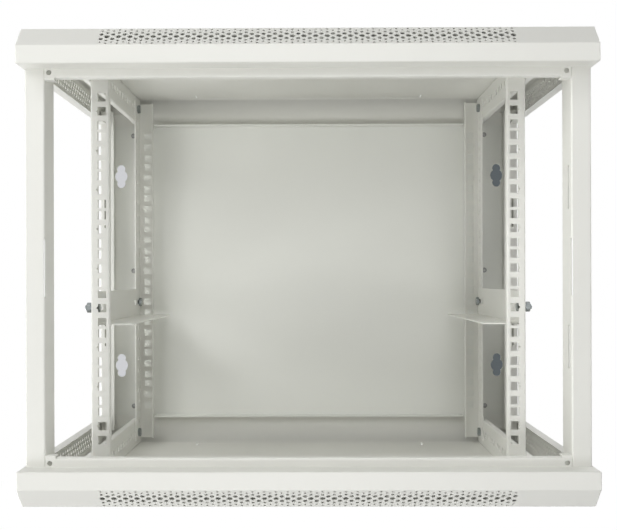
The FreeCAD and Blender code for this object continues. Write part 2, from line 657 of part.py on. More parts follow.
def side_bracket(label, side, end):
    """Side bracket under the roof or on the floor: a channel with a row of upright slots."""
    body = new_body(label)
    section = new_sketch(body, "Section", "XZ_Plane", "-bracket_rear")
    foot = "roof_inside - bracket_height"
    channel = [
        ("rack_outside", foot),
        ("rack_outside", "roof_inside"),
        ("rack_outside + bracket_flange", "roof_inside"),
        ("rack_outside + bracket_flange", "roof_inside - frame_sheet"),
        ("rack_outside + frame_sheet", "roof_inside - frame_sheet"),
        ("rack_outside + frame_sheet", f"{foot} + frame_sheet"),
        ("rack_outside + bracket_flange", f"{foot} + frame_sheet"),
        ("rack_outside + bracket_flange", foot),
    ]
    outline(section, [(f"{side} * ({across})", f"{end} * ({level})") for across, level in channel])
    pad(body, "Channel", section, "bracket_rear - bracket_front", symmetric=False)
    round_folds(body, section, (0, 1), (4, 5), "frame_sheet")
    slots = new_sketch(body, "SlotOutline", "YZ_Plane", f"{side} * (rack_outside + frame_sheet / 2)")
    slot(slots, "front_bolt - bracket_extra_front * bracket_pitch", f"{end} * rail_bolt_level",
         "bolt_hole", "bracket_slot_height")
    cut = punch(body, "Slot", slots, "frame_sheet")
    row_of(body, "SlotRow", cut, "Y_Axis", "(bracket_slots - 1) * bracket_pitch", "bracket_slots")
    place(body)


def rack_rail(label, rotation, along):
    """Rack rail with the standard square holes, drawn at the front left."""
    body = new_body(label)
    section = new_sketch(body, "Section", "XY_Plane")
    outline(section, [
        ("-rack_outside", "rack_front + rack_rail_flange"),
        ("-rack_outside", "rack_front"),
        ("-rack_inside", "rack_front"),
        ("-rack_inside", "rack_front + rack_rail_lip"),
        ("-rack_inside - rack_rail_sheet", "rack_front + rack_rail_lip"),
        ("-rack_inside - rack_rail_sheet", "rack_front + rack_rail_sheet"),
        ("rack_rail_sheet - rack_outside", "rack_front + rack_rail_sheet"),
        ("rack_rail_sheet - rack_outside", "rack_front + rack_rail_flange"),
    ])
    pad(body, "Channel", section, "2 * rack_rail_half_height")
    round_folds(body, section, (1, 2), (5, 6), "rack_rail_sheet")
    rack_unit_holes(body)
    rack_side_holes(body)
    place(body, rotation, along)


def rack_unit_holes(body):
    """Three square holes in every rack unit, the middle one with a notch on its outer side."""
    sketch = new_sketch(body, "UnitHoles", "XZ_Plane", "-(rack_front + rack_rail_sheet / 2)")
    inner = "rack_hole_size / 2 - rack_hole_spacing / 2"
    outer = "-rack_hole_size / 2 - rack_hole_spacing / 2"
    middle = "(0.5 - rack_units / 2) * rack_unit"
    for step in (-1, 1):
        level = f"{middle} + {step} * rack_hole_step"
        rectangle(sketch, outer, inner, f"{level} - rack_hole_size / 2", f"{level} + rack_hole_size / 2")
    outline(sketch, [
        (outer, f"{middle} - rack_hole_size / 2"),
        (inner, f"{middle} - rack_hole_size / 2"),
        (inner, f"{middle} + rack_hole_size / 2"),
        (outer, f"{middle} + rack_hole_size / 2"),
        (outer, f"{middle} + rack_notch_height / 2"),
        (f"{outer} - rack_notch_depth", f"{middle} + rack_notch_height / 4"),
        (f"{outer} - rack_notch_depth", f"{middle} - rack_notch_height / 4"),
        (outer, f"{middle} - rack_notch_height / 2"),
    ])
    holes = punch(body, "Unit", sketch, "rack_rail_sheet")
    row_of(body, "UnitRow", holes, "Z_Axis", "(rack_units - 1) * rack_unit", "rack_units")


def rack_side_holes(body):
    """Side holes at the edge of every unit, and the bolt holes at the ends and the runner."""
    depth = "rack_rail_sheet / 2 - rack_outside"
    along = "front_bolt"
    sketch = new_sketch(body, "SideHoles", "YZ_Plane", depth)
    lowest = "-rack_units * rack_unit / 2"
    circle(sketch, along, lowest, "flange_round_hole")
    for step in (-1, 1):
        level = f"{lowest} + {step} * flange_slot_step"
        slot(sketch, along, level, "flange_slot_width", "flange_slot_height")
    holes = punch(body, "Side", sketch, "rack_rail_sheet")
    row_of(body, "SideRow", holes, "Z_Axis", "rack_units * rack_unit", "rack_units + 1")
    bolts = new_sketch(body, "BoltHoles", "YZ_Plane", depth)
    for level in ("rail_bolt_level", "-rail_bolt_level", "runner_bolt_level", "-runner_bolt_level"):
        circle(bolts, along, level, "bolt_hole")
    punch(body, "Bolts", bolts, "rack_rail_sheet")


def support_runner(label, rotation, along):
    """Support runner: an angle bolted inside the rack rails, drawn on the left."""
    body = new_body(label)
    section = new_sketch(body, "Section", "XZ_Plane", "-runner_rear")
    outer = "rack_rail_sheet - rack_outside"
    outline(section, [
        (outer, "runner_foot"),
        (f"{outer} + runner_ledge", "runner_foot"),
        (f"{outer} + runner_ledge", "runner_foot + rack_rail_sheet"),
        (f"{outer} + rack_rail_sheet", "runner_foot + rack_rail_sheet"),
        (f"{outer} + rack_rail_sheet", "runner_foot + runner_height"),
        (outer, "runner_foot + runner_height"),
    ])
    pad(body, "Angle", section, "runner_rear - runner_front", symmetric=False)
    round_folds(body, section, (0,), (3,), "rack_rail_sheet")
    sketch = new_sketch(body, "RunnerSlots", "YZ_Plane", f"{outer} + rack_rail_sheet / 2")
    low = "runner_bolt_level - bolt_hole / 2"
    high = "runner_bolt_level + bolt_hole / 2"
    rectangle(sketch, "front_bolt - bolt_hole / 2", "front_bolt + runner_slot_reach", low, high)
    rectangle(sketch, "rear_bolt - runner_slot_reach", "rear_bolt + bolt_hole / 2", low, high)
    punch(body, "Slots", sketch, "rack_rail_sheet")
    place(body, rotation, along)


def primitive(kind, name, **sizes):
    """A primitive whose named sizes follow expressions."""
    solid = doc.addObject(kind, name)
    for key, text in sizes.items():
        solid.setExpression(key, cells(text))
    return solid


def shift_up(solid, text):
    """Moves a primitive along its own axis."""
    solid.setExpression(".Placement.Base.z", cells(text))


def joined(name, *solids):
    """Several solids as one."""
    whole = doc.addObject("Part::MultiFuse", name)
    whole.Shapes = list(solids)
    return whole


def cut_from(name, base, tool):
    """One solid with another cut away."""
    rest = doc.addObject("Part::Cut", name)
    rest.Base = base
    rest.Tool = tool
    return rest


def hexagon(name, height):
    """A hexagon prism across the flats of heads and nuts."""
    prism = primitive("Part::Prism", name, Height=height)
    prism.Polygon = 6
    prism.setExpression("Circumradius", cells("bolt_head_width / sqrt(3)"))
    return prism


def hexagon_bolt(name, grip):
    """A bolt that stands on its head's seat at height 0, its shank pointing down."""
    head = hexagon(name + "Head", "bolt_head_height")
    length = f"{grip} + washer_stack + nut_height + bolt_tail"
    shank = primitive("Part::Cylinder", name + "Shank", Radius="bolt_diameter / 2", Height=length)
    shift_up(shank, f"-({length})")
    return joined(name, head, shank)


def ring(name, width, height):
    """A flat ring round a bolt, its lower face at height 0."""
    disc = primitive("Part::Cylinder", name + "Disc", Radius=f"{width} / 2", Height=height)
    bore = primitive("Part::Cylinder", name + "Bore", Radius="nut_hole / 2", Height=f"3 * {height}")
    shift_up(bore, f"-{height}")
    return cut_from(name, disc, bore)


def flat_washer(name):
    """A plain washer."""
    return ring(name, "washer_width", "washer_height")


def spring_washer(name):
    """A spring washer with its split."""
    whole = ring(name + "Ring", "spring_washer_width", "spring_washer_height")
    split = primitive("Part::Box", name + "Split", Length="spring_washer_width",
                      Width="spring_washer_split", Height="3 * spring_washer_height")
    split.setExpression(".Placement.Base.y", cells("-spring_washer_split / 2"))
    shift_up(split, "-spring_washer_height")
    return cut_from(name, whole, split)


def hexagon_nut(name):
    """A hexagon nut, its lower face at height 0."""
    prism = hexagon(name + "Prism", "nut_height")
    bore = primitive("Part::Cylinder", name + "Bore", Radius="nut_hole / 2", Height="3 * nut_height")
    shift_up(bore, "-nut_height")
    return cut_from(name, prism, bore)


def pan_screw(name, width, height, diameter, length):
    """A screw with a low domed head and a cross recess, its seat at height 0."""
    disc = primitive("Part::Cylinder", name + "Disc", Radius=f"{width} / 2", Height=height)
    ball = primitive("Part::Sphere", name + "Dome", Radius=f"{width} * dome_share")
    shift_up(ball, f"{height} + dome_rise - {width} * dome_share")
    dome = doc.addObject("Part::Common", name + "Head")
    dome.Base = disc
    dome.Tool = ball
    arms = []
    for key, across, along in (("A", f"{width} * recess_share", "recess_width"),
                               ("B", "recess_width", f"{width} * recess_share")):
        arm = primitive("Part::Box", name + "Recess" + key, Length=across, Width=along, Height=height)
        arm.setExpression(".Placement.Base.x", cells(f"-{across} / 2"))
        arm.setExpression(".Placement.Base.y", cells(f"-{along} / 2"))
        shift_up(arm, f"{height} - recess_depth")
        arms.append(arm)
    head = cut_from(name + "Recessed", dome, joined(name + "Cross", *arms))
    shank = primitive("Part::Cylinder", name + "Shank", Radius=f"{diameter} / 2", Height=length)
    shift_up(shank, f"-({length})")
    return joined(name, head, shank)


def set_of(label, make, places):
    """A group of like fasteners, each a solid of its own at its own place."""
    members = []
    for number, (rotation, across, along, level) in enumerate(places, start=1):
        member = make(f"{label}_{number}")
        member.Placement = FreeCAD.Placement(FreeCAD.Vector(0, 0, 0), rotation)
        member.setExpression(".Placement.Base.x", cells(across))
        member.setExpression(".Placement.Base.y", cells(along))
        member.setExpression(".Placement.Base.z", cells(level))
        members.append(member)
    group = doc.addObject("Part::Compound", label)
    group.Links = members
    place(group)


def bolt_places(levels, seat):
    """Places of cross bolts at both sides and both pairs of rack rails, seat away from the middle."""
    places = []
    for side, rotation in (("-1", HEAD_TO_RIGHT), ("1", HEAD_TO_LEFT)):
        for along in ("front_bolt", "rear_bolt"):
            for level in levels:
                places.append((rotation, f"{side} * ({seat})", along, level))
    return places


def outward(places):
    """The same places for pieces that face away from the middle."""
    other = {id(HEAD_TO_RIGHT): HEAD_TO_LEFT, id(HEAD_TO_LEFT): HEAD_TO_RIGHT}
    return [(other[id(rotation)], *rest) for rotation, *rest in places]


def bolted_sets(prefix, levels, inner_seat, outer_seat):
    """Bolts with their washers and nuts through two sheets."""
    grip = f"({outer_seat} - ({inner_seat}))"
    set_of(prefix + "_bolts", lambda name: hexagon_bolt(name, grip), bolt_places(levels, inner_seat))
    stack = outer_seat
    for name, make, height in (("_washers", flat_washer, "washer_height"),
                               ("_spring_washers", spring_washer, "spring_washer_height"),
                               ("_nuts", hexagon_nut, "nut_height")):
        set_of(prefix + name, make, outward(bolt_places(levels, stack)))
        stack = f"{stack} + {height}"


def roof_screw(name):
    """A screw that holds a cover to a front rail."""
    return pan_screw(name, "cover_screw_head", "cover_screw_head_height",
                     "cover_screw_diameter", "cover_screw_length")


def panel_screw(name):
    """A screw that holds the back panel to a rear post."""
    return pan_screw(name, "panel_screw_head", "panel_screw_head_height",
                     "panel_screw_diameter", "(cover_sheet + frame_sheet)")


def cover_screw_places(rotation, level):
    """Places of the two screws of a cover."""
    across = "(cabinet_width / 2 - cover_screw_inset)"
    along = "cover_screw_setback - rear_face"
    return [(rotation, f"{side} * {across}", along, level) for side in ("1", "-1")]


def panel_screw_places():
    """Places of the screws of the back panel."""
    places = []
    for side in ("-1", "1"):
        for step in (-1, 0, 1):
            places.append((HEAD_TO_FRONT, f"{side} * (rear_post_inside + panel_screw_inset)",
                           "panel_back - cover_sheet", f"{step} * panel_screw_spacing"))
    return places


def check_document():
    """Stops if any object failed or any sub-part has no sound shape."""
    for item in doc.Objects:
        if {"Invalid", "Error"} & set(item.State):
            raise RuntimeError(f"{item.Label} failed: {item.State}")
    for piece in sub_parts:
        if piece.Shape.isNull() or not piece.Shape.Solids:
            raise RuntimeError(f"{piece.Label} has no sound shape")


fill_sheet()

roof = top_cover("top_cover")
bottom_cover("bottom_cover", roof)
front_rail("front_top_rail", AS_DRAWN)
front_rail("front_bottom_rail", TURNED_ABOUT_Y)
front_post("front_post_left", "-1", slotted=False)
front_post("front_post_right", "1", slotted=True)
rear_post("rear_post_left", "-1")
rear_post("rear_post_right", "1")
back_panel("back_panel")

side_bracket("side_bracket_top_left", "-1", "1")
side_bracket("side_bracket_top_right", "1", "1")
side_bracket("side_bracket_bottom_left", "-1", "-1")
side_bracket("side_bracket_bottom_right", "1", "-1")

rack_rail("rack_rail_front_left", AS_DRAWN, "0")
rack_rail("rack_rail_front_right", TURNED_ABOUT_Y, "0")
rack_rail("rack_rail_rear_right", TURNED_ABOUT_Z, "rack_front + rack_rear")
rack_rail("rack_rail_rear_left", TURNED_ABOUT_X, "rack_front + rack_rear")

support_runner("support_runner_left", AS_DRAWN, "0")
support_runner("support_runner_right", TURNED_ABOUT_Z, "runner_front + runner_rear")

bolted_sets("rack_rail", ("rail_bolt_level", "-rail_bolt_level"),
            "rack_outside - rack_rail_sheet", "rack_outside + frame_sheet")
bolted_sets("runner", ("runner_bolt_level",), "rack_outside - 2 * rack_rail_sheet", "rack_outside")
set_of("roof_screws", roof_screw, cover_screw_places(AS_DRAWN, "half_height"))
set_of("floor_screws", roof_screw, cover_screw_places(TURNED_ABOUT_Y, "-half_height"))
set_of("back_panel_screws", panel_screw, panel_screw_places())

doc.recompute()
check_document()
os.makedirs("parts", exist_ok=True)
for piece in sub_parts:
    piece.Shape.exportStep(f"parts/{piece.Label}.step")
print(len(sub_parts), "sub-parts written")
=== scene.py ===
"""Looks of the wall mount rack cabinet: powder coated sheet, zinc plated fasteners, studio."""

import logging
import math
from dataclasses import dataclass
from enum import Enum

import bmesh
import bpy
from mathutils import Matrix, Vector

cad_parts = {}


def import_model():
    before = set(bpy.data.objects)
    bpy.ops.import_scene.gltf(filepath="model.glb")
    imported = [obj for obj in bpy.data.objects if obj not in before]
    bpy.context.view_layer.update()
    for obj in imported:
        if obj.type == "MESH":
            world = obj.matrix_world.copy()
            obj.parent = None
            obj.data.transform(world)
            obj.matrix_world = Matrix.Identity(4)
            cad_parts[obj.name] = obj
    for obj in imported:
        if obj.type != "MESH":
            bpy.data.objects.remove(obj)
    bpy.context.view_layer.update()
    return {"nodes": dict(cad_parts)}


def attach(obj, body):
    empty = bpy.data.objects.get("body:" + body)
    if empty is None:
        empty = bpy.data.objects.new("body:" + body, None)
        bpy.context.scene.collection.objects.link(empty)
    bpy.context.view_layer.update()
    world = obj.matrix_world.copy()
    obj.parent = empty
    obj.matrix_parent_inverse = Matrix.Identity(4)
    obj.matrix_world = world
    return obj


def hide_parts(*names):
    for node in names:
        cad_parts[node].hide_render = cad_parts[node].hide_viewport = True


Colour = tuple[float, float, float, float]

LOG = logging.getLogger("rack_cabinet")
MM = 0.001
BODY = "root"
MIDDLE = 253 * MM
SMOOTH_ANGLE = math.radians(32)
MERGE_DISTANCE = 0.002 * MM
WHITE: Colour = (1.0, 1.0, 1.0, 1.0)
TURN_ATTRIBUTE = "turn"


class Turn(Enum):
    """How a like piece is turned round the middle of the cabinet."""

    AS_DRAWN = 0.0
    UPSIDE_DOWN = math.pi


class HeadSide(Enum):
    """The side that a cross bolt's head faces."""

    LEFT = -1
    RIGHT = 1


# Small helpers


def link(obj: bpy.types.Object) -> bpy.types.Object:
    """Puts an object into the scene.

    Args:
        obj: The object.

    Returns:
        The same object.
    """
    bpy.context.scene.collection.objects.link(obj)
    return obj


def baked(name: str, work: bmesh.types.BMesh) -> bpy.types.Mesh:
    """Turns a bmesh into a mesh.

    Args:
        name: The mesh's name.
        work: The bmesh, which is freed.

    Returns:
        The mesh.
    """
    mesh = bpy.data.meshes.new(name)
    work.to_mesh(mesh)
    work.free()
    return mesh


def mesh_object(name: str, work: bmesh.types.BMesh) -> bpy.types.Object:
    """Makes a finished piece of a bmesh, smooth except at its edges.

    Args:
        name: The piece's name.
        work: The bmesh, which is freed.

    Returns:
        The object, at the origin.
    """
    return smooth_object(name, baked(name, work))


def smooth_object(name: str, mesh: bpy.types.Mesh) -> bpy.types.Object:
    """Shades a mesh smooth except at its edges and puts it into the scene.

    Args:
        name: The piece's name.
        mesh: The finished mesh.

    Returns:
        The object, at the origin.
    """
    mesh.name = name
    mesh.shade_smooth()
    mesh.set_sharp_from_angle(angle=SMOOTH_ANGLE)
    return link(bpy.data.objects.new(name, mesh))


def evaluated_mesh(obj: bpy.types.Object, name: str) -> bpy.types.Mesh:
    """A copy of an object's mesh with its modifiers applied.

    Args:
        obj: The object.
        name: The copy's name.

    Returns:
        The mesh.
    """
    graph = bpy.context.evaluated_depsgraph_get()
    mesh = bpy.data.meshes.new_from_object(obj.evaluated_get(graph))
    mesh.name = name
    return mesh


def plain_mesh(obj: bpy.types.Object, name: str) -> bpy.types.Mesh:
    """Turns an object with modifiers into a plain mesh and removes the object.

    Args:
        obj: The object to evaluate.
        name: The new mesh's name.

    Returns:
        The evaluated mesh.
    """
    mesh = evaluated_mesh(obj, name)
    bpy.data.objects.remove(obj)
    return mesh


def keep_flats(piece: bpy.types.Object) -> None:
    """Shades flat sheet flat right up to its folds: large faces weigh more in the normals.

    Args:
        piece: The finished piece.
    """
    weighted = piece.modifiers.new("Flat sheet", "WEIGHTED_NORMAL")
    weighted.keep_sharp = True
    mesh = evaluated_mesh(piece, piece.name)
    piece.modifiers.clear()
    piece.data = mesh


def set_material(obj: bpy.types.Object, material: bpy.types.Material) -> None:
    """Gives an object one material.

    Args:
        obj: The piece or CAD node.
        material: Its material.
    """
    obj.data.materials.clear()
    obj.data.materials.append(material)


def register(obj: bpy.types.Object, nodes: tuple[str, ...]) -> None:
    """Ties a finished piece to the frame.

    Args:
        obj: The piece.
        nodes: The CAD nodes that it stands for.
    """
    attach(obj, BODY)
    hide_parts(*nodes)
    LOG.info("piece %s: %d faces", obj.name, len(obj.data.polygons))


# Node trees


class Tree:
    """A node tree with short ways to add and join nodes."""

    def __init__(self, tree: bpy.types.NodeTree) -> None:
        """Wraps a tree.

        Args:
            tree: The tree to build in.
        """
        self.tree = tree

    def node(self, kind: str, **settings: object) -> bpy.types.Node:
        """Adds a node.

        Args:
            kind: The node's identifier.
            settings: Properties of the node.

        Returns:
            The new node.
        """
        made = self.tree.nodes.new(kind)
        for key, value in settings.items():
            setattr(made, key, value)
        return made

    def join(self, source: bpy.types.NodeSocket, target: bpy.types.NodeSocket) -> None:
        """Links two sockets."""
        self.tree.links.new(source, target)

    def after(
        self, source: bpy.types.NodeSocket, kind: str, entry: int | str = 0, **settings: object
    ) -> bpy.types.Node:
        """Adds a node behind a socket.

        Args:
            source: The socket that feeds the node.
            kind: The node's identifier.
            entry: Number or name of the input that takes the source.
            settings: Properties of the node.

        Returns:
            The new node.
        """
        made = self.node(kind, **settings)
        self.join(source, made.inputs[entry])
        return made

    def feed(self, value: object, target: bpy.types.NodeSocket) -> None:
        """Links a socket or sets a constant.

        Args:
            value: A socket to link, or a constant.
            target: The input.
        """
        if isinstance(value, bpy.types.NodeSocket):
            self.join(value, target)
        else:
            target.default_value = value

    def math(self, operation: str, first: object, second: object) -> bpy.types.NodeSocket:
        """Adds a Math node.

        Args:
            operation: The node's operation.
            first: A socket or a number.
            second: A socket or a number.

        Returns:
            The result's socket.
        """
        made = self.node("ShaderNodeMath", operation=operation)
        self.feed(first, made.inputs[0])
        self.feed(second, made.inputs[1])
        return made.outputs[0]

    def around(self, noise: bpy.types.NodeSocket, middle: float, spread: float) -> bpy.types.NodeSocket:
        """A value that noise from 0 to 1 spreads evenly about its middle.

        Args:
            noise: The noise.
            middle: The middle value.
            spread: Difference between the highest and the lowest value.

        Returns:
            The value's socket.
        """
        return self.math("ADD", self.math("MULTIPLY", noise, spread), middle - spread / 2)

    def noise(self, scale: object, detail: float = 2.0) -> bpy.types.NodeSocket:
        """Adds noise that is fixed to the object.

        Args:
            scale: A socket or a number.
            detail: How many finer layers it has.

        Returns:
            The noise's socket.
        """
        place = self.node("ShaderNodeTexCoord")
        made = self.after(place.outputs["Object"], "ShaderNodeTexNoise", "Vector")
        self.feed(scale, made.inputs["Scale"])
        made.inputs["Detail"].default_value = detail
        return made.outputs["Fac"]

    def blend(self, factor: bpy.types.NodeSocket, low: object, high: object) -> bpy.types.NodeSocket:
        """Mixes two colours.

        Args:
            factor: The mix, 0 for the low colour and 1 for the high one.
            low: A socket or a colour.
            high: A socket or a colour.

        Returns:
            The mixed colour's socket.
        """
        made = self.node("ShaderNodeMix", data_type="RGBA", blend_type="MIX")
        self.join(factor, made.inputs["Factor"])
        self.feed(low, made.inputs["A"])
        self.feed(high, made.inputs["B"])
        return made.outputs["Result"]

    def bump(self, height: bpy.types.NodeSocket, strength: float, distance: float) -> bpy.types.NodeSocket:
        """Adds a Bump node.

        Args:
            height: The height's socket.
            strength: How strongly it shows.
            distance: Height of the relief.

        Returns:
            The normal's socket.
        """
        made = self.after(height, "ShaderNodeBump", "Height")
        made.inputs["Strength"].default_value = strength
        made.inputs["Distance"].default_value = distance
        return made.outputs["Normal"]

    def paint(self, geometry: bpy.types.NodeSocket, finish: bpy.types.NodeSocket) -> bpy.types.NodeSocket:
        """Gives geometry a material.

        Args:
            geometry: The geometry's socket.
            finish: The material's socket.

        Returns:
            The painted geometry's socket.
        """
        made = self.after(geometry, "GeometryNodeSetMaterial", "Geometry")
        self.join(finish, made.inputs["Material"])
        return made.outputs[0]

    def seen(self) -> bpy.types.NodeSocket:
        """A mask of the rays that show the surround, straight or through a shiny or clear piece."""
        path = self.node("ShaderNodeLightPath").outputs
        indirect = self.math("MAXIMUM", path["Is Glossy Ray"], path["Is Transmission Ray"])
        return self.math("MAXIMUM", path["Is Camera Ray"], indirect)


def new_input(group: bpy.types.NodeTree, name: str, kind: str, value: object = None) -> str:
    """Adds an input to a group.

    Args:
        group: The node group.
        name: The input's name.
        kind: Its socket type.
        value: Its default.

    Returns:
        The socket's identifier.
    """
    socket = group.interface.new_socket(name, in_out="INPUT", socket_type=kind)
    if value is not None:
        socket.default_value = value
    return socket.identifier


def new_output(group: bpy.types.NodeTree, name: str, kind: str) -> None:
    """Adds an output to a group.

    Args:
        group: The node group.
        name: The output's name.
        kind: Its socket type.
    """
    group.interface.new_socket(name, in_out="OUTPUT", socket_type=kind)


def new_material(name: str) -> tuple[bpy.types.Material, Tree, bpy.types.Node]:
    """Makes a material with nodes.

    Args:
        name: The material's name.

    Returns:
        The material, its tree and its Principled node.
    """
    material = bpy.data.materials.new(name)
    material.use_nodes = True
    return material, Tree(material.node_tree), material.node_tree.nodes["Principled BSDF"]


# Finishes


# The coat's layers of noise: input that sets the size, usual size, detail
PEEL_LAYERS = (("Ripple size", 1.6 * MM, 2.0), ("Grain size", 0.5 * MM, 1.0), ("Cloud size", 60 * MM, 3.0))
GRAIN_SHARE = 0.25
BEVEL_SAMPLES = 4
EDGE_GAIN = 4.0
BREAK_UP_SCALE = 240.0
BREAK_UP_GAIN = 4.0


def orange_peel_group() -> bpy.types.NodeTree:
    """Height and tone of sprayed powder: soft ripples, fine grain and faint clouds.

    Returns:
        The shader node group.
    """
    group = bpy.data.node_groups.new("Orange peel", "ShaderNodeTree")
    for name, size, _ in PEEL_LAYERS:
        new_input(group, name, "NodeSocketFloat", size)
    new_output(group, "Height", "NodeSocketFloat")
    new_output(group, "Cloud", "NodeSocketFloat")
    tree = Tree(group)
    start = tree.node("NodeGroupInput")
    end = tree.node("NodeGroupOutput")
    layers = []
    for name, _, detail in PEEL_LAYERS:
        layers.append(tree.noise(tree.math("DIVIDE", 1.0, start.outputs[name]), detail))
    ripple, grain, cloud = layers
    height = tree.math("ADD", ripple, tree.math("MULTIPLY", grain, GRAIN_SHARE))
    tree.join(height, end.inputs["Height"])
    tree.join(cloud, end.inputs["Cloud"])
    return group


def edge_wear_group() -> bpy.types.NodeTree:
    """Mask of the folds and cut edges, where powder runs thin, broken up by noise.

    Returns:
        The shader node group.
    """
    group = bpy.data.node_groups.new("Edge wear", "ShaderNodeTree")
    new_input(group, "Width", "NodeSocketFloat", 0.6 * MM)
    new_input(group, "Break up", "NodeSocketFloat", 0.5)
    new_output(group, "Mask", "NodeSocketFloat")
    tree = Tree(group)
    start = tree.node("NodeGroupInput")
    end = tree.node("NodeGroupOutput")
    bevel = tree.after(start.outputs["Width"], "ShaderNodeBevel", "Radius", samples=BEVEL_SAMPLES)
    flat = tree.node("ShaderNodeNewGeometry")
    turned = tree.after(bevel.outputs["Normal"], "ShaderNodeVectorMath", operation="DOT_PRODUCT")
    tree.join(flat.outputs["Normal"], turned.inputs[1])
    edge = tree.math("MULTIPLY", tree.math("SUBTRACT", 1.0, turned.outputs["Value"]), EDGE_GAIN)
    broken = tree.math("SUBTRACT", tree.noise(BREAK_UP_SCALE), start.outputs["Break up"])
    gain = tree.math("MULTIPLY", broken, BREAK_UP_GAIN)
    kept = tree.after(tree.math("MULTIPLY", edge, gain), "ShaderNodeClamp", "Value")
    tree.join(kept.outputs[0], end.inputs["Mask"])
    return group


@dataclass(frozen=True)
class SharedGroups:
    """Shader node groups that several finishes use."""

    orange_peel: bpy.types.NodeTree
    edge_wear: bpy.types.NodeTree


def linear(value: float) -> float:
    """A screen value from 0 to 255 as scene-linear colour."""
    share = value / 255
    return share / 12.92 if share <= 0.04045 else ((share + 0.055) / 1.055) ** 2.4


def colour(red: float, green: float, blue: float) -> Colour:
    """Screen values from 0 to 255 as a colour socket's value."""
    return linear(red), linear(green), linear(blue), 1.0


def toned(tint: Colour, factor: float) -> Colour:
    """A colour made lighter or darker by a factor."""
    red, green, blue, alpha = tint
    return factor * red, factor * green, factor * blue, alpha


@dataclass(frozen=True)
class PowderCoat:
    """Powder coated sheet: pale, satin, with a fine orange peel, faint clouds and thin edges."""

    name: str
    tint: Colour
    ripple: float = 1.6 * MM
    roughness: float = 0.42
    rough_spread: float = 0.08
    cloud_change: float = 0.015
    thin_share: float = 0.35
    thin_tone: float = 0.8
    bump: float = 0.05
    relief: float = 0.15 * MM
    index: float = 1.5

    def build(self, shared: SharedGroups) -> bpy.types.Material:
        """Makes the material.

        Args:
            shared: The shared groups.

        Returns:
            The material.
        """
        material, tree, shader = new_material(self.name)
        peel = tree.node("ShaderNodeGroup", node_tree=shared.orange_peel)
        peel.inputs["Ripple size"].default_value = self.ripple
        cloud = peel.outputs["Cloud"]
        wear = tree.node("ShaderNodeGroup", node_tree=shared.edge_wear)
        darker = toned(self.tint, 1.0 - self.cloud_change)
        lighter = toned(self.tint, 1.0 + self.cloud_change)
        thin = tree.math("MULTIPLY", wear.outputs["Mask"], self.thin_share)
        edge_tint = toned(self.tint, self.thin_tone)
        tint = tree.blend(thin, tree.blend(cloud, darker, lighter), edge_tint)
        tree.join(tint, shader.inputs["Base Color"])
        tree.join(tree.around(cloud, self.roughness, self.rough_spread), shader.inputs["Roughness"])
        normal = tree.bump(peel.outputs["Height"], self.bump, self.relief)
        tree.join(normal, shader.inputs["Normal"])
        shader.inputs["IOR"].default_value = self.index
        return material


@dataclass(frozen=True)
class ZincPlate:
    """Bright zinc plate on steel fasteners, with dull patches, fine grain and rubbed edges."""

    name: str
    tint: Colour
    roughness: float
    rough_spread: float = 0.2
    edge_tint: Colour = colour(225, 226, 228)
    edge_width: float = 0.3 * MM
    patch_scale: float = 420.0
    patch_detail: float = 3.0
    patch_tone: float = 0.6
    grain_scale: float = 3000.0
    bump: float = 0.06
    relief: float = 0.05 * MM

    def build(self, shared: SharedGroups) -> bpy.types.Material:
        """Makes the material.

        Args:
            shared: The shared groups.

        Returns:
            The material.
        """
        material, tree, shader = new_material(self.name)
        shader.inputs["Metallic"].default_value = 1.0
        patches = tree.noise(self.patch_scale, self.patch_detail)
        wear = tree.node("ShaderNodeGroup", node_tree=shared.edge_wear)
        wear.inputs["Width"].default_value = self.edge_width
        plate = tree.blend(patches, toned(self.tint, self.patch_tone), self.tint)
        tint = tree.blend(wear.outputs["Mask"], plate, self.edge_tint)
        tree.join(tint, shader.inputs["Base Color"])
        tree.join(tree.around(patches, self.roughness, self.rough_spread), shader.inputs["Roughness"])
        normal = tree.bump(tree.noise(self.grain_scale), self.bump, self.relief)
        tree.join(normal, shader.inputs["Normal"])
        return material


@dataclass(frozen=True)
class Finishes:
    """The materials of the whole cabinet."""

    cover: bpy.types.Material
    frame: bpy.types.Material
    panel: bpy.types.Material
    rail: bpy.types.Material
    fastener: bpy.types.Material
    screw: bpy.types.Material


def build_finishes() -> Finishes:
    """Makes every material of the cabinet.

    Returns:
        The materials.
    """
    shared = SharedGroups(orange_peel_group(), edge_wear_group())
    pale = colour(232, 232, 226)
    panel = PowderCoat("Back panel powder coat", colour(230, 231, 225), ripple=1.9 * MM)
    return Finishes(
        cover=PowderCoat("Cover powder coat", pale).build(shared),
        frame=PowderCoat("Frame powder coat", pale).build(shared),
        panel=panel.build(shared),
        rail=PowderCoat("Rack rail powder coat", pale, ripple=1.4 * MM).build(shared),
        fastener=ZincPlate("Bolt zinc plate", colour(172, 178, 179), roughness=0.22).build(shared),
        screw=ZincPlate("Screw zinc plate", colour(180, 180, 178), roughness=0.36).build(shared),
    )


# Ventilation strips


@dataclass(frozen=True)
class HoleRow:
    """One row of round holes in a ventilation strip, shifted by a share of the pitch."""

    name: str
    diameter: float
    level: float
    shift: float

    @property
    def level_name(self) -> str:
        """Name of the input that sets the row's level."""
        return self.name + " level"


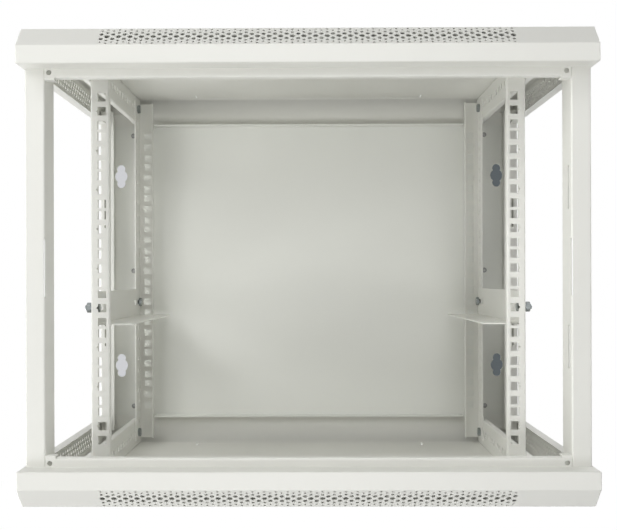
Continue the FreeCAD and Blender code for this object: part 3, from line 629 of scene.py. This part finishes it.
@dataclass
class VentStrip:
    """A flat strip of sheet with rows of round holes, made by Geometry Nodes."""

    name: str
    width: float
    height: float
    sheet: float
    columns: int
    pitch: float
    rows: tuple[HoleRow, ...]
    segments: int

    def tree(self) -> tuple[bpy.types.NodeTree, dict[str, str]]:
        """Builds the strip's Geometry Nodes.

        Returns:
            The tree, and the identifier of each named input.
        """
        group = bpy.data.node_groups.new(self.name, "GeometryNodeTree")
        keys = {}
        for name in ("Width", "Height", "Sheet", "Pitch"):
            keys[name] = new_input(group, name, "NodeSocketFloat")
        for name in ("Columns", "Segments"):
            keys[name] = new_input(group, name, "NodeSocketInt")
        for row in self.rows:
            for name in (row.name, row.level_name):
                keys[name] = new_input(group, name, "NodeSocketFloat")
        keys["Finish"] = new_input(group, "Finish", "NodeSocketMaterial")
        new_output(group, "Geometry", "NodeSocketGeometry")
        tree = Tree(group)
        start = tree.node("NodeGroupInput")
        end = tree.node("NodeGroupOutput")
        border = tree.after(start.outputs["Width"], "GeometryNodeCurvePrimitiveQuadrilateral", "Width")
        tree.join(start.outputs["Height"], border.inputs["Height"])
        curves = tree.after(border.outputs["Curve"], "GeometryNodeJoinGeometry")
        for row in self.rows:
            tree.join(self.row_of_rings(tree, start, row), curves.inputs[0])
        real = tree.after(curves.outputs[0], "GeometryNodeRealizeInstances")
        fill = tree.after(real.outputs[0], "GeometryNodeFillCurve", "Curve")
        raised = tree.after(fill.outputs[0], "GeometryNodeExtrudeMesh", "Mesh")
        tree.join(start.outputs["Sheet"], raised.inputs["Offset Scale"])
        raised.inputs["Individual"].default_value = False
        under = tree.after(fill.outputs[0], "GeometryNodeFlipFaces", "Mesh")
        both = tree.after(raised.outputs["Mesh"], "GeometryNodeJoinGeometry")
        tree.join(under.outputs["Mesh"], both.inputs[0])
        merged = tree.after(both.outputs[0], "GeometryNodeMergeByDistance", "Geometry")
        merged.inputs["Distance"].default_value = MERGE_DISTANCE
        solid = tree.after(merged.outputs[0], "GeometryNodeRealizeInstances")
        tree.join(tree.paint(solid.outputs[0], start.outputs["Finish"]), end.inputs[0])
        return group, keys

    def row_of_rings(
        self, tree: Tree, start: bpy.types.Node, row: HoleRow
    ) -> bpy.types.NodeSocket:
        """Adds the nodes of one row of hole outlines.

        Args:
            tree: The strip's tree.
            start: Its input node.
            row: The row.

        Returns:
            The rings' socket.
        """
        count = start.outputs["Columns"]
        pitch = start.outputs["Pitch"]
        gaps = tree.math("SUBTRACT", count, 1.0)
        half = tree.math("MULTIPLY", tree.math("MULTIPLY", gaps, pitch), -0.5)
        moved = tree.math("MULTIPLY", pitch, row.shift)
        first = tree.after(tree.math("ADD", half, moved), "ShaderNodeCombineXYZ", "X")
        tree.join(start.outputs[row.level_name], first.inputs["Y"])
        step = tree.after(pitch, "ShaderNodeCombineXYZ", "X")
        line = tree.after(count, "GeometryNodeMeshLine", "Count", mode="OFFSET")
        tree.join(first.outputs[0], line.inputs["Start Location"])
        tree.join(step.outputs[0], line.inputs["Offset"])
        ring = tree.after(start.outputs["Segments"], "GeometryNodeCurvePrimitiveCircle", "Resolution")
        tree.join(tree.math("MULTIPLY", start.outputs[row.name], 0.5), ring.inputs["Radius"])
        rings = tree.after(line.outputs[0], "GeometryNodeInstanceOnPoints", "Points")
        tree.join(ring.outputs[0], rings.inputs["Instance"])
        return rings.outputs[0]

    def build(self, finish: bpy.types.Material, place: Matrix) -> bpy.types.Mesh:
        """Makes the strip, its middle plane moved to its place.

        Args:
            finish: The strip's material.
            place: Where the strip's centre lies and how it is turned.

        Returns:
            The strip as a plain mesh.
        """
        group, keys = self.tree()
        carrier = link(bpy.data.objects.new(self.name, bpy.data.meshes.new(self.name)))
        strip = carrier.modifiers.new("Strip", "NODES")
        strip.node_group = group
        values = {
            "Width": self.width,
            "Height": self.height,
            "Sheet": self.sheet,
            "Pitch": self.pitch,
            "Columns": self.columns,
            "Segments": self.segments,
            "Finish": finish,
        }
        for row in self.rows:
            values[row.name] = row.diameter
            values[row.level_name] = row.level
        for name, value in values.items():
            strip[keys[name]] = value
        mesh = plain_mesh(carrier, self.name)
        mesh.transform(place @ Matrix.Translation((0, 0, -self.sheet / 2)))
        return mesh


# Covers


# Columns of the sloped strip's holes: diameter and level of each hole in millimetres
MAIN_COLUMN = ((2.6, -12.6), (3.4, -7.2), (5.6, 0.0), (3.4, 7.2), (2.6, 12.6))
BETWEEN_COLUMN = ((2.5, -10.4), (4.6, -4.2), (4.6, 4.2), (2.5, 10.4))
# Neighbouring rows are staggered by this share of the pitch to either side
STAGGER = 0.25


def slope_rows() -> tuple[HoleRow, ...]:
    """Rows of the sloped strip: graded columns of five with columns of four between.

    Returns:
        The rows.
    """
    rows = []
    for kind, column, shift in (("Main", MAIN_COLUMN, STAGGER), ("Between", BETWEEN_COLUMN, -STAGGER)):
        for index, (diameter, level) in enumerate(column):
            rows.append(HoleRow(f"{kind} hole {index}", diameter * MM, level * MM, shift))
    return tuple(rows)


def side_rows(diameter: float, step: float) -> tuple[HoleRow, ...]:
    """Rows of a side wall: three staggered rows of equal holes.

    Args:
        diameter: Diameter of the holes.
        step: Distance between the rows.

    Returns:
        The rows.
    """
    return (
        HoleRow("Lower hole", diameter, -step, -STAGGER),
        HoleRow("Middle hole", diameter, 0.0, STAGGER),
        HoleRow("Upper hole", diameter, step, -STAGGER),
    )


@dataclass
class Covers:
    """Top and bottom cover, with round ventilation holes in the slope and the side walls."""

    finishes: Finishes
    width: float = 600 * MM
    depth: float = 450 * MM
    top: float = 503 * MM
    height: float = 40.5 * MM
    band: float = 19 * MM
    sheet: float = 1.2 * MM
    slope_angle: float = math.radians(45)
    slope_columns: int = 36
    slope_strip: float = 28.8 * MM
    slope_segments: int = 24
    side_columns: int = 28
    side_hole: float = 4.6 * MM
    side_step: float = 6.4 * MM
    side_start: float = 78 * MM
    side_drop: float = 19 * MM
    side_segments: int = 20
    pitch: float = 12 * MM
    strip_end: float = 7.8 * MM
    strip_margin: float = 1.6 * MM
    window_depth: float = 4 * MM

    @property
    def side_run(self) -> float:
        """Length that the rows of a side wall take up, with their stagger."""
        return (self.side_columns - 0.5) * self.pitch

    def slope_place(self) -> Matrix:
        """Middle of the sloped sheet, X along the cabinet, Z out of it."""
        run = self.height - self.band
        inset = self.sheet / 2 * math.cos(self.slope_angle)
        centre = Vector((0, run / 2 + inset - self.depth / 2, self.top - run / 2 - inset))
        return Matrix.Translation(centre) @ Matrix.Rotation(self.slope_angle, 4, "X")

    def side_place(self, side: int) -> Matrix:
        """Middle of a side wall's holes, X back along the wall, Z out of it.

        Args:
            side: -1 for the left wall, 1 for the right.

        Returns:
            The place.
        """
        middle = self.side_start - self.depth / 2 + self.side_run / 2
        centre = Vector((side * (self.width - self.sheet) / 2, middle, self.top - self.side_drop))
        across = Vector((0, side, 0))
        outward = Vector((side, 0, 0))
        turned = Matrix((across, outward.cross(across), outward)).transposed().to_4x4()
        return Matrix.Translation(centre) @ turned

    def strips(self) -> list[tuple[VentStrip, Matrix]]:
        """The ventilation strips of the top cover and their places.

        Returns:
            One entry for the slope and one for each side wall.
        """
        slope = VentStrip(
            name="Slope vents",
            width=self.slope_columns * self.pitch + self.strip_end,
            height=self.slope_strip,
            sheet=self.sheet,
            columns=self.slope_columns,
            pitch=self.pitch,
            rows=slope_rows(),
            segments=self.slope_segments,
        )
        side = VentStrip(
            name="Side vents",
            width=self.side_run + self.strip_end,
            height=2 * self.side_step + 2 * self.strip_margin + self.side_hole,
            sheet=self.sheet,
            columns=self.side_columns,
            pitch=self.pitch,
            rows=side_rows(self.side_hole, self.side_step),
            segments=self.side_segments,
        )
        return [(slope, self.slope_place()), (side, self.side_place(-1)), (side, self.side_place(1))]

    def window(self, strip: VentStrip, place: Matrix) -> bpy.types.Object:
        """A block that cuts the room for a strip out of the cover.

        Args:
            strip: The strip.
            place: Its place.

        Returns:
            The block.
        """
        work = bmesh.new()
        bmesh.ops.create_cube(work, size=1.0)
        size = Matrix.Diagonal((strip.width, strip.height, self.window_depth, 1.0))
        work.transform(place @ size)
        return mesh_object("Window", work)

    def shell(self, node: bpy.types.Object) -> bpy.types.Mesh:
        """The top cover's own sheet with its vented areas cut out.

        Args:
            node: The cover's CAD node.

        Returns:
            The shell.
        """
        work = bmesh.new()
        work.from_mesh(node.data)
        bmesh.ops.remove_doubles(work, verts=work.verts, dist=MERGE_DISTANCE)
        shell = mesh_object("Cover shell", work)
        windows = [self.window(strip, place) for strip, place in self.strips()]
        for block in windows:
            cut = shell.modifiers.new("Window", "BOOLEAN")
            cut.operation = "DIFFERENCE"
            cut.solver = "EXACT"
            cut.object = block
        mesh = plain_mesh(shell, "Cover sheet")
        for block in windows:
            bpy.data.objects.remove(block)
        return mesh

    def build(self, nodes: dict[str, bpy.types.Object]) -> None:
        """Makes both covers.

        Args:
            nodes: The CAD nodes.
        """
        parts = [self.shell(nodes["top_cover"])]
        for strip, place in self.strips():
            parts.append(strip.build(self.finishes.cover, place))
        middle = Matrix.Translation((0, 0, MIDDLE))
        for name, turn in (("top_cover", Turn.AS_DRAWN), ("bottom_cover", Turn.UPSIDE_DOWN)):
            work = bmesh.new()
            for part in parts:
                work.from_mesh(part)
            work.transform(middle @ Matrix.Rotation(turn.value, 4, "Y") @ middle.inverted())
            cover = mesh_object(name + "_vented", work)
            keep_flats(cover)
            set_material(cover, self.finishes.cover)
            for face in cover.data.polygons:
                face.material_index = 0
            register(cover, (name,))


# Fasteners


@dataclass
class CrossBolts:
    """Hexagon bolts and nuts that lie across the cabinet, set out by Geometry Nodes."""

    finishes: Finishes
    flats: float = 10 * MM
    face_share: float = 0.475
    crown_share: float = 0.3
    turned_angle: float = math.radians(30)
    least_fall: float = 0.06
    head_height: float = 4 * MM
    nut_height: float = 5.2 * MM
    nut_play: float = 0.2 * MM
    shank: float = 6 * MM
    thread_pitch: float = 1 * MM
    thread_depth: float = 0.55 * MM
    tip: float = 0.3 * MM
    neck: float = 0.2 * MM
    bolt_tail: float = 2 * MM
    stack: float = 3.2 * MM
    segments: int = 48
    front_y: float = -98.7 * MM
    rear_y: float = 191.3 * MM
    rail_level: float = 230.3 * MM
    runner_level: float = -44.45 * MM
    rail_outside: float = 245 * MM
    sheet: float = 1.5 * MM

    def turns(self) -> list[float]:
        """The angles of a ring's points, a corner of the hexagon lying at angle 0."""
        return [2 * math.pi * k / self.segments for k in range(self.segments)]

    def ring(self, radius: float, level: float) -> list[Vector]:
        """A round ring of points."""
        return [Vector((radius * math.cos(t), radius * math.sin(t), level)) for t in self.turns()]

    def hex_radius(self, turn: float) -> float:
        """Distance from the axis to the hexagon's flats at an angle."""
        wedge = turn % (math.pi / 3) - math.pi / 6
        return self.flats / 2 / math.cos(wedge)

    def crest(self, level: float, sign: int) -> list[Vector]:
        """The scalloped edge between the flats and the turned chamfer.

        Args:
            level: Height of the hexagon's end.
            sign: 1 for an upper end, -1 for a lower one, 0 for one that isn't turned off.

        Returns:
            The edge's points.
        """
        slope = math.tan(self.turned_angle)
        corner_fall = (self.flats / math.sqrt(3) - self.flats / 2) * slope
        points = []
        for t in self.turns():
            radius = self.hex_radius(t)
            fall = (radius - self.flats / 2) * slope + self.least_fall * corner_fall
            points.append(Vector((radius * math.cos(t), radius * math.sin(t), level - sign * fall)))
        return points

    def hexagon(self, height: float, lower_sign: int) -> list[list[Vector]]:
        """Rings of a hexagon whose corners are turned off.

        Args:
            height: Height of the hexagon, which stands on height 0.
            lower_sign: -1 where its lower end is turned off too, else 0.

        Returns:
            Rings of points from the lower face round to the upper one.
        """
        face = self.face_share * self.flats
        lower, upper = self.crest(0, lower_sign), self.crest(height, 1)
        return [self.ring(face, 0), lower, upper, self.ring(face, height)]

    def thread(self, length: float) -> list[list[Vector]]:
        """Rings of a shank with thread ridges.

        Args:
            length: Length under the head.

        Returns:
            Rings of points from the tip up to height 0.
        """
        outer = self.shank / 2
        root = outer - self.thread_depth
        level = self.tip - length
        profile = [(root - self.tip, -length), (root, level)]
        while level + self.thread_pitch < -self.neck:
            profile.append((outer, level + self.thread_pitch / 2))
            level += self.thread_pitch
            profile.append((root, level))
        profile.append((outer, 0.0))
        return [self.ring(radius, height) for radius, height in profile]

    def skin(self, name: str, rings: list[list[Vector]], closed: bool) -> bpy.types.Mesh:
        """Makes a mesh by joining rings of points with faces.

        Args:
            name: The mesh's name.
            rings: The rings, in order along the section.
            closed: Whether the last ring meets the first; otherwise both ends are capped.

        Returns:
            The mesh.
        """
        work = bmesh.new()
        rows = [[work.verts.new(point) for point in ring] for ring in rings]
        pairs = list(zip(rows, rows[1:]))
        if closed:
            pairs.append((rows[-1], rows[0]))
        for low, high in pairs:
            for k in range(self.segments):
                after = (k + 1) % self.segments
                work.faces.new((low[k], low[after], high[after], high[k]))
        if not closed:
            work.faces.new(rows[-1])
            work.faces.new(list(reversed(rows[0])))
        bmesh.ops.recalc_face_normals(work, faces=work.faces)
        return baked(name, work)

    def bolt(self, grip: float) -> bpy.types.Mesh:
        """A bolt whose head stands on height 0, its threaded shank pointing down.

        Args:
            grip: Thickness of the sheets it holds.

        Returns:
            The mesh.
        """
        shank = self.thread(grip + self.stack + self.nut_height + self.bolt_tail)
        crown = self.ring(self.crown_share * self.flats, self.head_height)
        head = self.hexagon(self.head_height, lower_sign=0)
        return self.skin("Bolt", shank + head + [crown], closed=False)

    def nut(self) -> bpy.types.Mesh:
        """A nut that stands on height 0.

        Returns:
            The mesh.
        """
        bore = (self.shank + self.nut_play) / 2
        body = self.hexagon(self.nut_height, lower_sign=-1)
        rings = [self.ring(bore, 0)] + body + [self.ring(bore, self.nut_height)]
        return self.skin("Nut", rings, closed=True)

    def tree(self, name: str) -> tuple[bpy.types.NodeTree, str, str]:
        """Builds the Geometry Nodes that set a fastener on each point.

        Args:
            name: The tree's name.

        Returns:
            The tree, and the identifiers of its fastener and its finish.
        """
        group = bpy.data.node_groups.new(name, "GeometryNodeTree")
        new_input(group, "Geometry", "NodeSocketGeometry")
        fastener_key = new_input(group, "Fastener", "NodeSocketObject")
        finish_key = new_input(group, "Finish", "NodeSocketMaterial")
        new_output(group, "Geometry", "NodeSocketGeometry")
        tree = Tree(group)
        start = tree.node("NodeGroupInput")
        end = tree.node("NodeGroupOutput")
        source = tree.after(start.outputs["Fastener"], "GeometryNodeObjectInfo", "Object")
        turned = tree.node("GeometryNodeInputNamedAttribute", data_type="FLOAT_VECTOR")
        turned.inputs["Name"].default_value = TURN_ATTRIBUTE
        spin = tree.after(turned.outputs["Attribute"], "FunctionNodeEulerToRotation")
        copies = tree.after(start.outputs["Geometry"], "GeometryNodeInstanceOnPoints", "Points")
        tree.join(source.outputs["Geometry"], copies.inputs["Instance"])
        tree.join(spin.outputs[0], copies.inputs["Rotation"])
        real = tree.after(copies.outputs[0], "GeometryNodeRealizeInstances")
        tree.join(tree.paint(real.outputs[0], start.outputs["Finish"]), end.inputs[0])
        return group, fastener_key, finish_key

    def scatter(
        self, name: str, master: bpy.types.Mesh, seats: list[tuple[Vector, HeadSide]]
    ) -> bpy.types.Object:
        """Sets a copy of a fastener on each seat.

        Args:
            name: Name of the finished group.
            master: The fastener.
            seats: Where each one sits and which way it faces.

        Returns:
            The group as one piece.
        """
        group, fastener_key, finish_key = self.tree(name)
        points = bpy.data.meshes.new(name + " seats")
        points.from_pydata([tuple(place) for place, _ in seats], [], [])
        turns = points.attributes.new(TURN_ATTRIBUTE, "FLOAT_VECTOR", "POINT")
        for index, (_, side) in enumerate(seats):
            turns.data[index].vector = (0.0, side.value * math.pi / 2, 0.0)
        carrier = link(bpy.data.objects.new(name, points))
        pattern = link(bpy.data.objects.new(name + " master", master))
        modifier = carrier.modifiers.new("Fasteners", "NODES")
        modifier.node_group = group
        modifier[fastener_key] = pattern
        modifier[finish_key] = self.finishes.fastener
        mesh = plain_mesh(carrier, name)
        bpy.data.objects.remove(pattern)
        leftover = mesh.attributes.get(TURN_ATTRIBUTE)
        if leftover is not None:
            mesh.attributes.remove(leftover)
        piece = smooth_object(name, mesh)
        set_material(piece, self.finishes.fastener)
        return piece

    def seats(self, levels: tuple[float, ...], away: float, inward: bool) -> list[tuple[Vector, HeadSide]]:
        """Seats at both sides and both pairs of rails.

        Args:
            levels: Heights from the middle of the cabinet.
            away: Distance of the seat from the middle plane.
            inward: Whether the fastener faces the middle plane.

        Returns:
            The seats.
        """
        made = []
        for side in (-1, 1):
            facing = HeadSide(-side) if inward else HeadSide(side)
            for along in (self.front_y, self.rear_y):
                for level in levels:
                    made.append((Vector((side * away, along, MIDDLE + level)), facing))
        return made

    def build(self) -> None:
        """Makes the bolts and nuts of the rack rails and the runners."""
        rail_levels = (self.rail_level, -self.rail_level)
        sets = (
            ("rack_rail", rail_levels, self.rail_outside - self.sheet, self.rail_outside + self.sheet),
            ("runner", (self.runner_level,), self.rail_outside - 2 * self.sheet, self.rail_outside),
        )
        for name, levels, inner, outer in sets:
            heads = self.seats(levels, inner, inward=True)
            ends = self.seats(levels, outer + self.stack, inward=False)
            bolt = self.bolt(outer - inner)
            for kind, master, seats in (("bolts", bolt, heads), ("nuts", self.nut(), ends)):
                piece = self.scatter(f"{name}_hex_{kind}", master, seats)
                register(piece, (f"{name}_{kind}",))


# Pieces that keep their CAD mesh


@dataclass
class KeptSheet:
    """The frame, rails and small parts whose CAD mesh already has its full form."""

    finishes: Finishes
    frame_parts: tuple[str, ...] = ("front_", "rear_post", "side_bracket")
    rail_parts: tuple[str, ...] = ("rack_rail_front", "rack_rail_rear", "support_runner")
    screw_parts: tuple[str, ...] = ("roof_screws", "floor_screws", "back_panel_screws")

    def finish_of(self, name: str) -> bpy.types.Material:
        """The finish of a CAD node.

        Args:
            name: The node.

        Returns:
            Its material.
        """
        if name.startswith(self.screw_parts):
            return self.finishes.screw
        if name.startswith(self.frame_parts):
            return self.finishes.frame
        if name.startswith(self.rail_parts):
            return self.finishes.rail
        if name == "back_panel":
            return self.finishes.panel
        if name.endswith("_cover"):
            return self.finishes.cover
        return self.finishes.fastener

    def dress(self, nodes: dict[str, bpy.types.Object]) -> None:
        """Gives every CAD node its finish.

        Args:
            nodes: The CAD nodes.
        """
        for name, node in nodes.items():
            set_material(node, self.finish_of(name))
            LOG.info("node %s: %s", name, node.data.materials[0].name)


# Studio


@dataclass(frozen=True)
class Softbox:
    """A square soft lamp that faces the middle of the cabinet."""

    name: str
    place: tuple[float, float, float]
    power: float
    size: float

    def build(self, target: Vector) -> None:
        """Sets the lamp up.

        Args:
            target: The point it faces.
        """
        light = bpy.data.lights.new(self.name, "AREA")
        light.energy = self.power
        light.size = self.size
        lamp = link(bpy.data.objects.new(self.name, light))
        lamp.location = self.place
        lamp.rotation_euler = (target - Vector(self.place)).to_track_quat("-Z", "Y").to_euler()


@dataclass(frozen=True)
class PaintedWallCard:
    """A strip behind the cabinet that the wall holes of one side show; its tint is painted light and shade
    of the wall there, pale for the lit left wall and dark for the shaded right wall.
    """

    name: str
    side: int
    tint: Colour


@dataclass
class Studio:
    """White surround, soft lamps and the camera of the photograph."""

    softboxes: tuple[Softbox, ...] = (
        Softbox("Left softbox", (-2.0, -1.5, 0.25), 2.8, 1.2),
        Softbox("Left side softbox", (-1.9, -0.7, 0.25), 13.4, 1.0),
        Softbox("Right softbox", (2.0, -1.5, 0.25), 3.6, 1.2),
        Softbox("Right side softbox", (1.9, -0.7, 0.25), 4.6, 1.0),
        Softbox("Top softbox", (0.0, -1.4, 1.9), 7.2, 1.0),
        Softbox("Top left softbox", (-1.4, -1.2, 1.6), 13.0, 1.0),
        Softbox("Upper front softbox", (0.0, -2.0, 1.0), 6.6, 0.6),
        Softbox("Lower front softbox", (0.0, -2.0, -0.5), 8.2, 0.6),
        Softbox("Lower left softbox", (-1.6, -0.9, -0.9), 9.4, 1.0),
        Softbox("Bottom softbox", (0.0, -1.2, -1.4), 0.8, 1.0),
        Softbox("Rear left softbox", (-1.8, 1.3, -0.6), 19.0, 1.0),
        Softbox("Rear right softbox", (1.8, 1.3, 1.1), 19.0, 1.0),
    )
    target: tuple[float, float, float] = (0.0, 0.0, 0.25)
    world_level: float = 0.06
    paper_roughness: float = 0.9
    floor_size: float = 16.0
    floor_level: float = -1.6
    floor_glow: float = 1.1
    floor_share: float = 0.9
    # Painted light and shade of the wall behind: the left card is the lit wall, the right card the shaded
    # wall.
    cards: tuple[PaintedWallCard, ...] = (
        PaintedWallCard("left", -1, colour(206, 207, 210)),
        PaintedWallCard("right", 1, colour(91, 97, 100)),
    )
    card_place: tuple[float, float] = (272.7 * MM, 226.2 * MM)
    card_width: float = 40 * MM
    card_low: float = 85 * MM
    card_high: float = 421 * MM
    card_glow: float = 1.0
    card_share: float = 1.0
    lens: float = 60.4
    lens_shift: tuple[float, float] = (0.0095, 0.0222)
    sensor: float = 36.0
    farthest: float = 50.0
    camera_place: tuple[float, float, float] = (0.0044, -1.2837, 0.2411)
    camera_turn: tuple[float, float, float] = (90.0, 0.15, 0.51)

    def backdrop_material(
        self, name: str, tint: Colour, glow: float, share: float, one_sided: bool = False
    ) -> bpy.types.Material:
        """Paper that shows an even tone to the camera and to shiny surfaces.

        Args:
            name: The material's name.
            tint: Its tone.
            glow: Strength of the tone that the camera sees.
            share: Share of that tone; the rest is the lit paper with its shadow.
            one_sided: Whether it is clear when seen from behind.

        Returns:
            The material.
        """
        material, tree, shader = new_material(name)
        shader.inputs["Base Color"].default_value = tint
        shader.inputs["Roughness"].default_value = self.paper_roughness
        tone = tree.node("ShaderNodeEmission")
        tone.inputs["Color"].default_value = tint
        tone.inputs["Strength"].default_value = glow
        mix = tree.after(tree.math("MULTIPLY", tree.seen(), share), "ShaderNodeMixShader", "Fac")
        tree.join(shader.outputs[0], mix.inputs[1])
        tree.join(tone.outputs[0], mix.inputs[2])
        surface = mix.outputs[0]
        if one_sided:
            facing = tree.node("ShaderNodeNewGeometry")
            clear = tree.node("ShaderNodeBsdfTransparent")
            front = tree.after(facing.outputs["Backfacing"], "ShaderNodeMixShader", "Fac")
            tree.join(surface, front.inputs[1])
            tree.join(clear.outputs[0], front.inputs[2])
            surface = front.outputs[0]
        tree.join(surface, material.node_tree.nodes["Material Output"].inputs["Surface"])
        return material

    def floor(self) -> None:
        """The floor, far below the hung cabinet, with its faint shadow."""
        work = bmesh.new()
        bmesh.ops.create_grid(work, x_segments=1, y_segments=1, size=self.floor_size / 2)
        work.transform(Matrix.Translation((0.0, 0.0, self.floor_level)))
        floor = mesh_object("Studio floor", work)
        set_material(floor, self.backdrop_material("Studio paper", WHITE, self.floor_glow, self.floor_share))

    def wall_card(self, kind: PaintedWallCard) -> None:
        """Hangs a wall card, which puts neither shadow nor light on the cabinet.

        Args:
            kind: The card.
        """
        across, back = self.card_place
        near = kind.side * across - self.card_width / 2
        far = kind.side * across + self.card_width / 2
        low, high = self.card_low, self.card_high
        work = bmesh.new()
        corners = ((near, low), (far, low), (far, high), (near, high))
        work.faces.new([work.verts.new((x, back, z)) for x, z in corners])
        card = mesh_object("Wall card " + kind.name, work)
        name = "Wall behind " + kind.name
        # The card shows its tint to the camera: painted wall light at the left, painted wall shade at the
        # right.
        paper = self.backdrop_material(
            name, kind.tint, self.card_glow, self.card_share, one_sided=True)
        set_material(card, paper)
        card.visible_shadow = False
        card.visible_diffuse = False

    def world(self) -> None:
        """An even pale surround that the camera sees as white."""
        world = bpy.data.worlds.new("Studio surround")
        world.use_nodes = True
        bpy.context.scene.world = world
        tree = Tree(world.node_tree)
        back = world.node_tree.nodes["Background"]
        level = tree.math("MULTIPLY", tree.seen(), 1.0 - self.world_level)
        tree.join(tree.math("ADD", level, self.world_level), back.inputs["Strength"])
        back.inputs["Color"].default_value = WHITE

    def camera(self) -> None:
        """The photograph's viewpoint."""
        lens = bpy.data.cameras.new("Photograph")
        lens.lens = self.lens
        lens.sensor_width = self.sensor
        lens.sensor_fit = "HORIZONTAL"
        lens.shift_x, lens.shift_y = self.lens_shift
        lens.clip_end = self.farthest
        view = link(bpy.data.objects.new("Photograph", lens))
        view.location = self.camera_place
        view.rotation_euler = [math.radians(angle) for angle in self.camera_turn]
        bpy.context.scene.camera = view

    def build(self) -> None:
        """Sets the whole studio up."""
        self.floor()
        for card in self.cards:
            self.wall_card(card)
        self.world()
        for softbox in self.softboxes:
            softbox.build(Vector(self.target))
        self.camera()
        bpy.context.scene.view_settings.view_transform = "Standard"


def main() -> None:
    """Builds and dresses the cabinet and sets up the studio."""
    logging.basicConfig(level=logging.INFO)
    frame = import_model()
    finishes = build_finishes()
    KeptSheet(finishes).dress(frame["nodes"])
    Covers(finishes).build(frame["nodes"])
    CrossBolts(finishes).build()
    Studio().build()


if __name__ == "__main__":
    main()
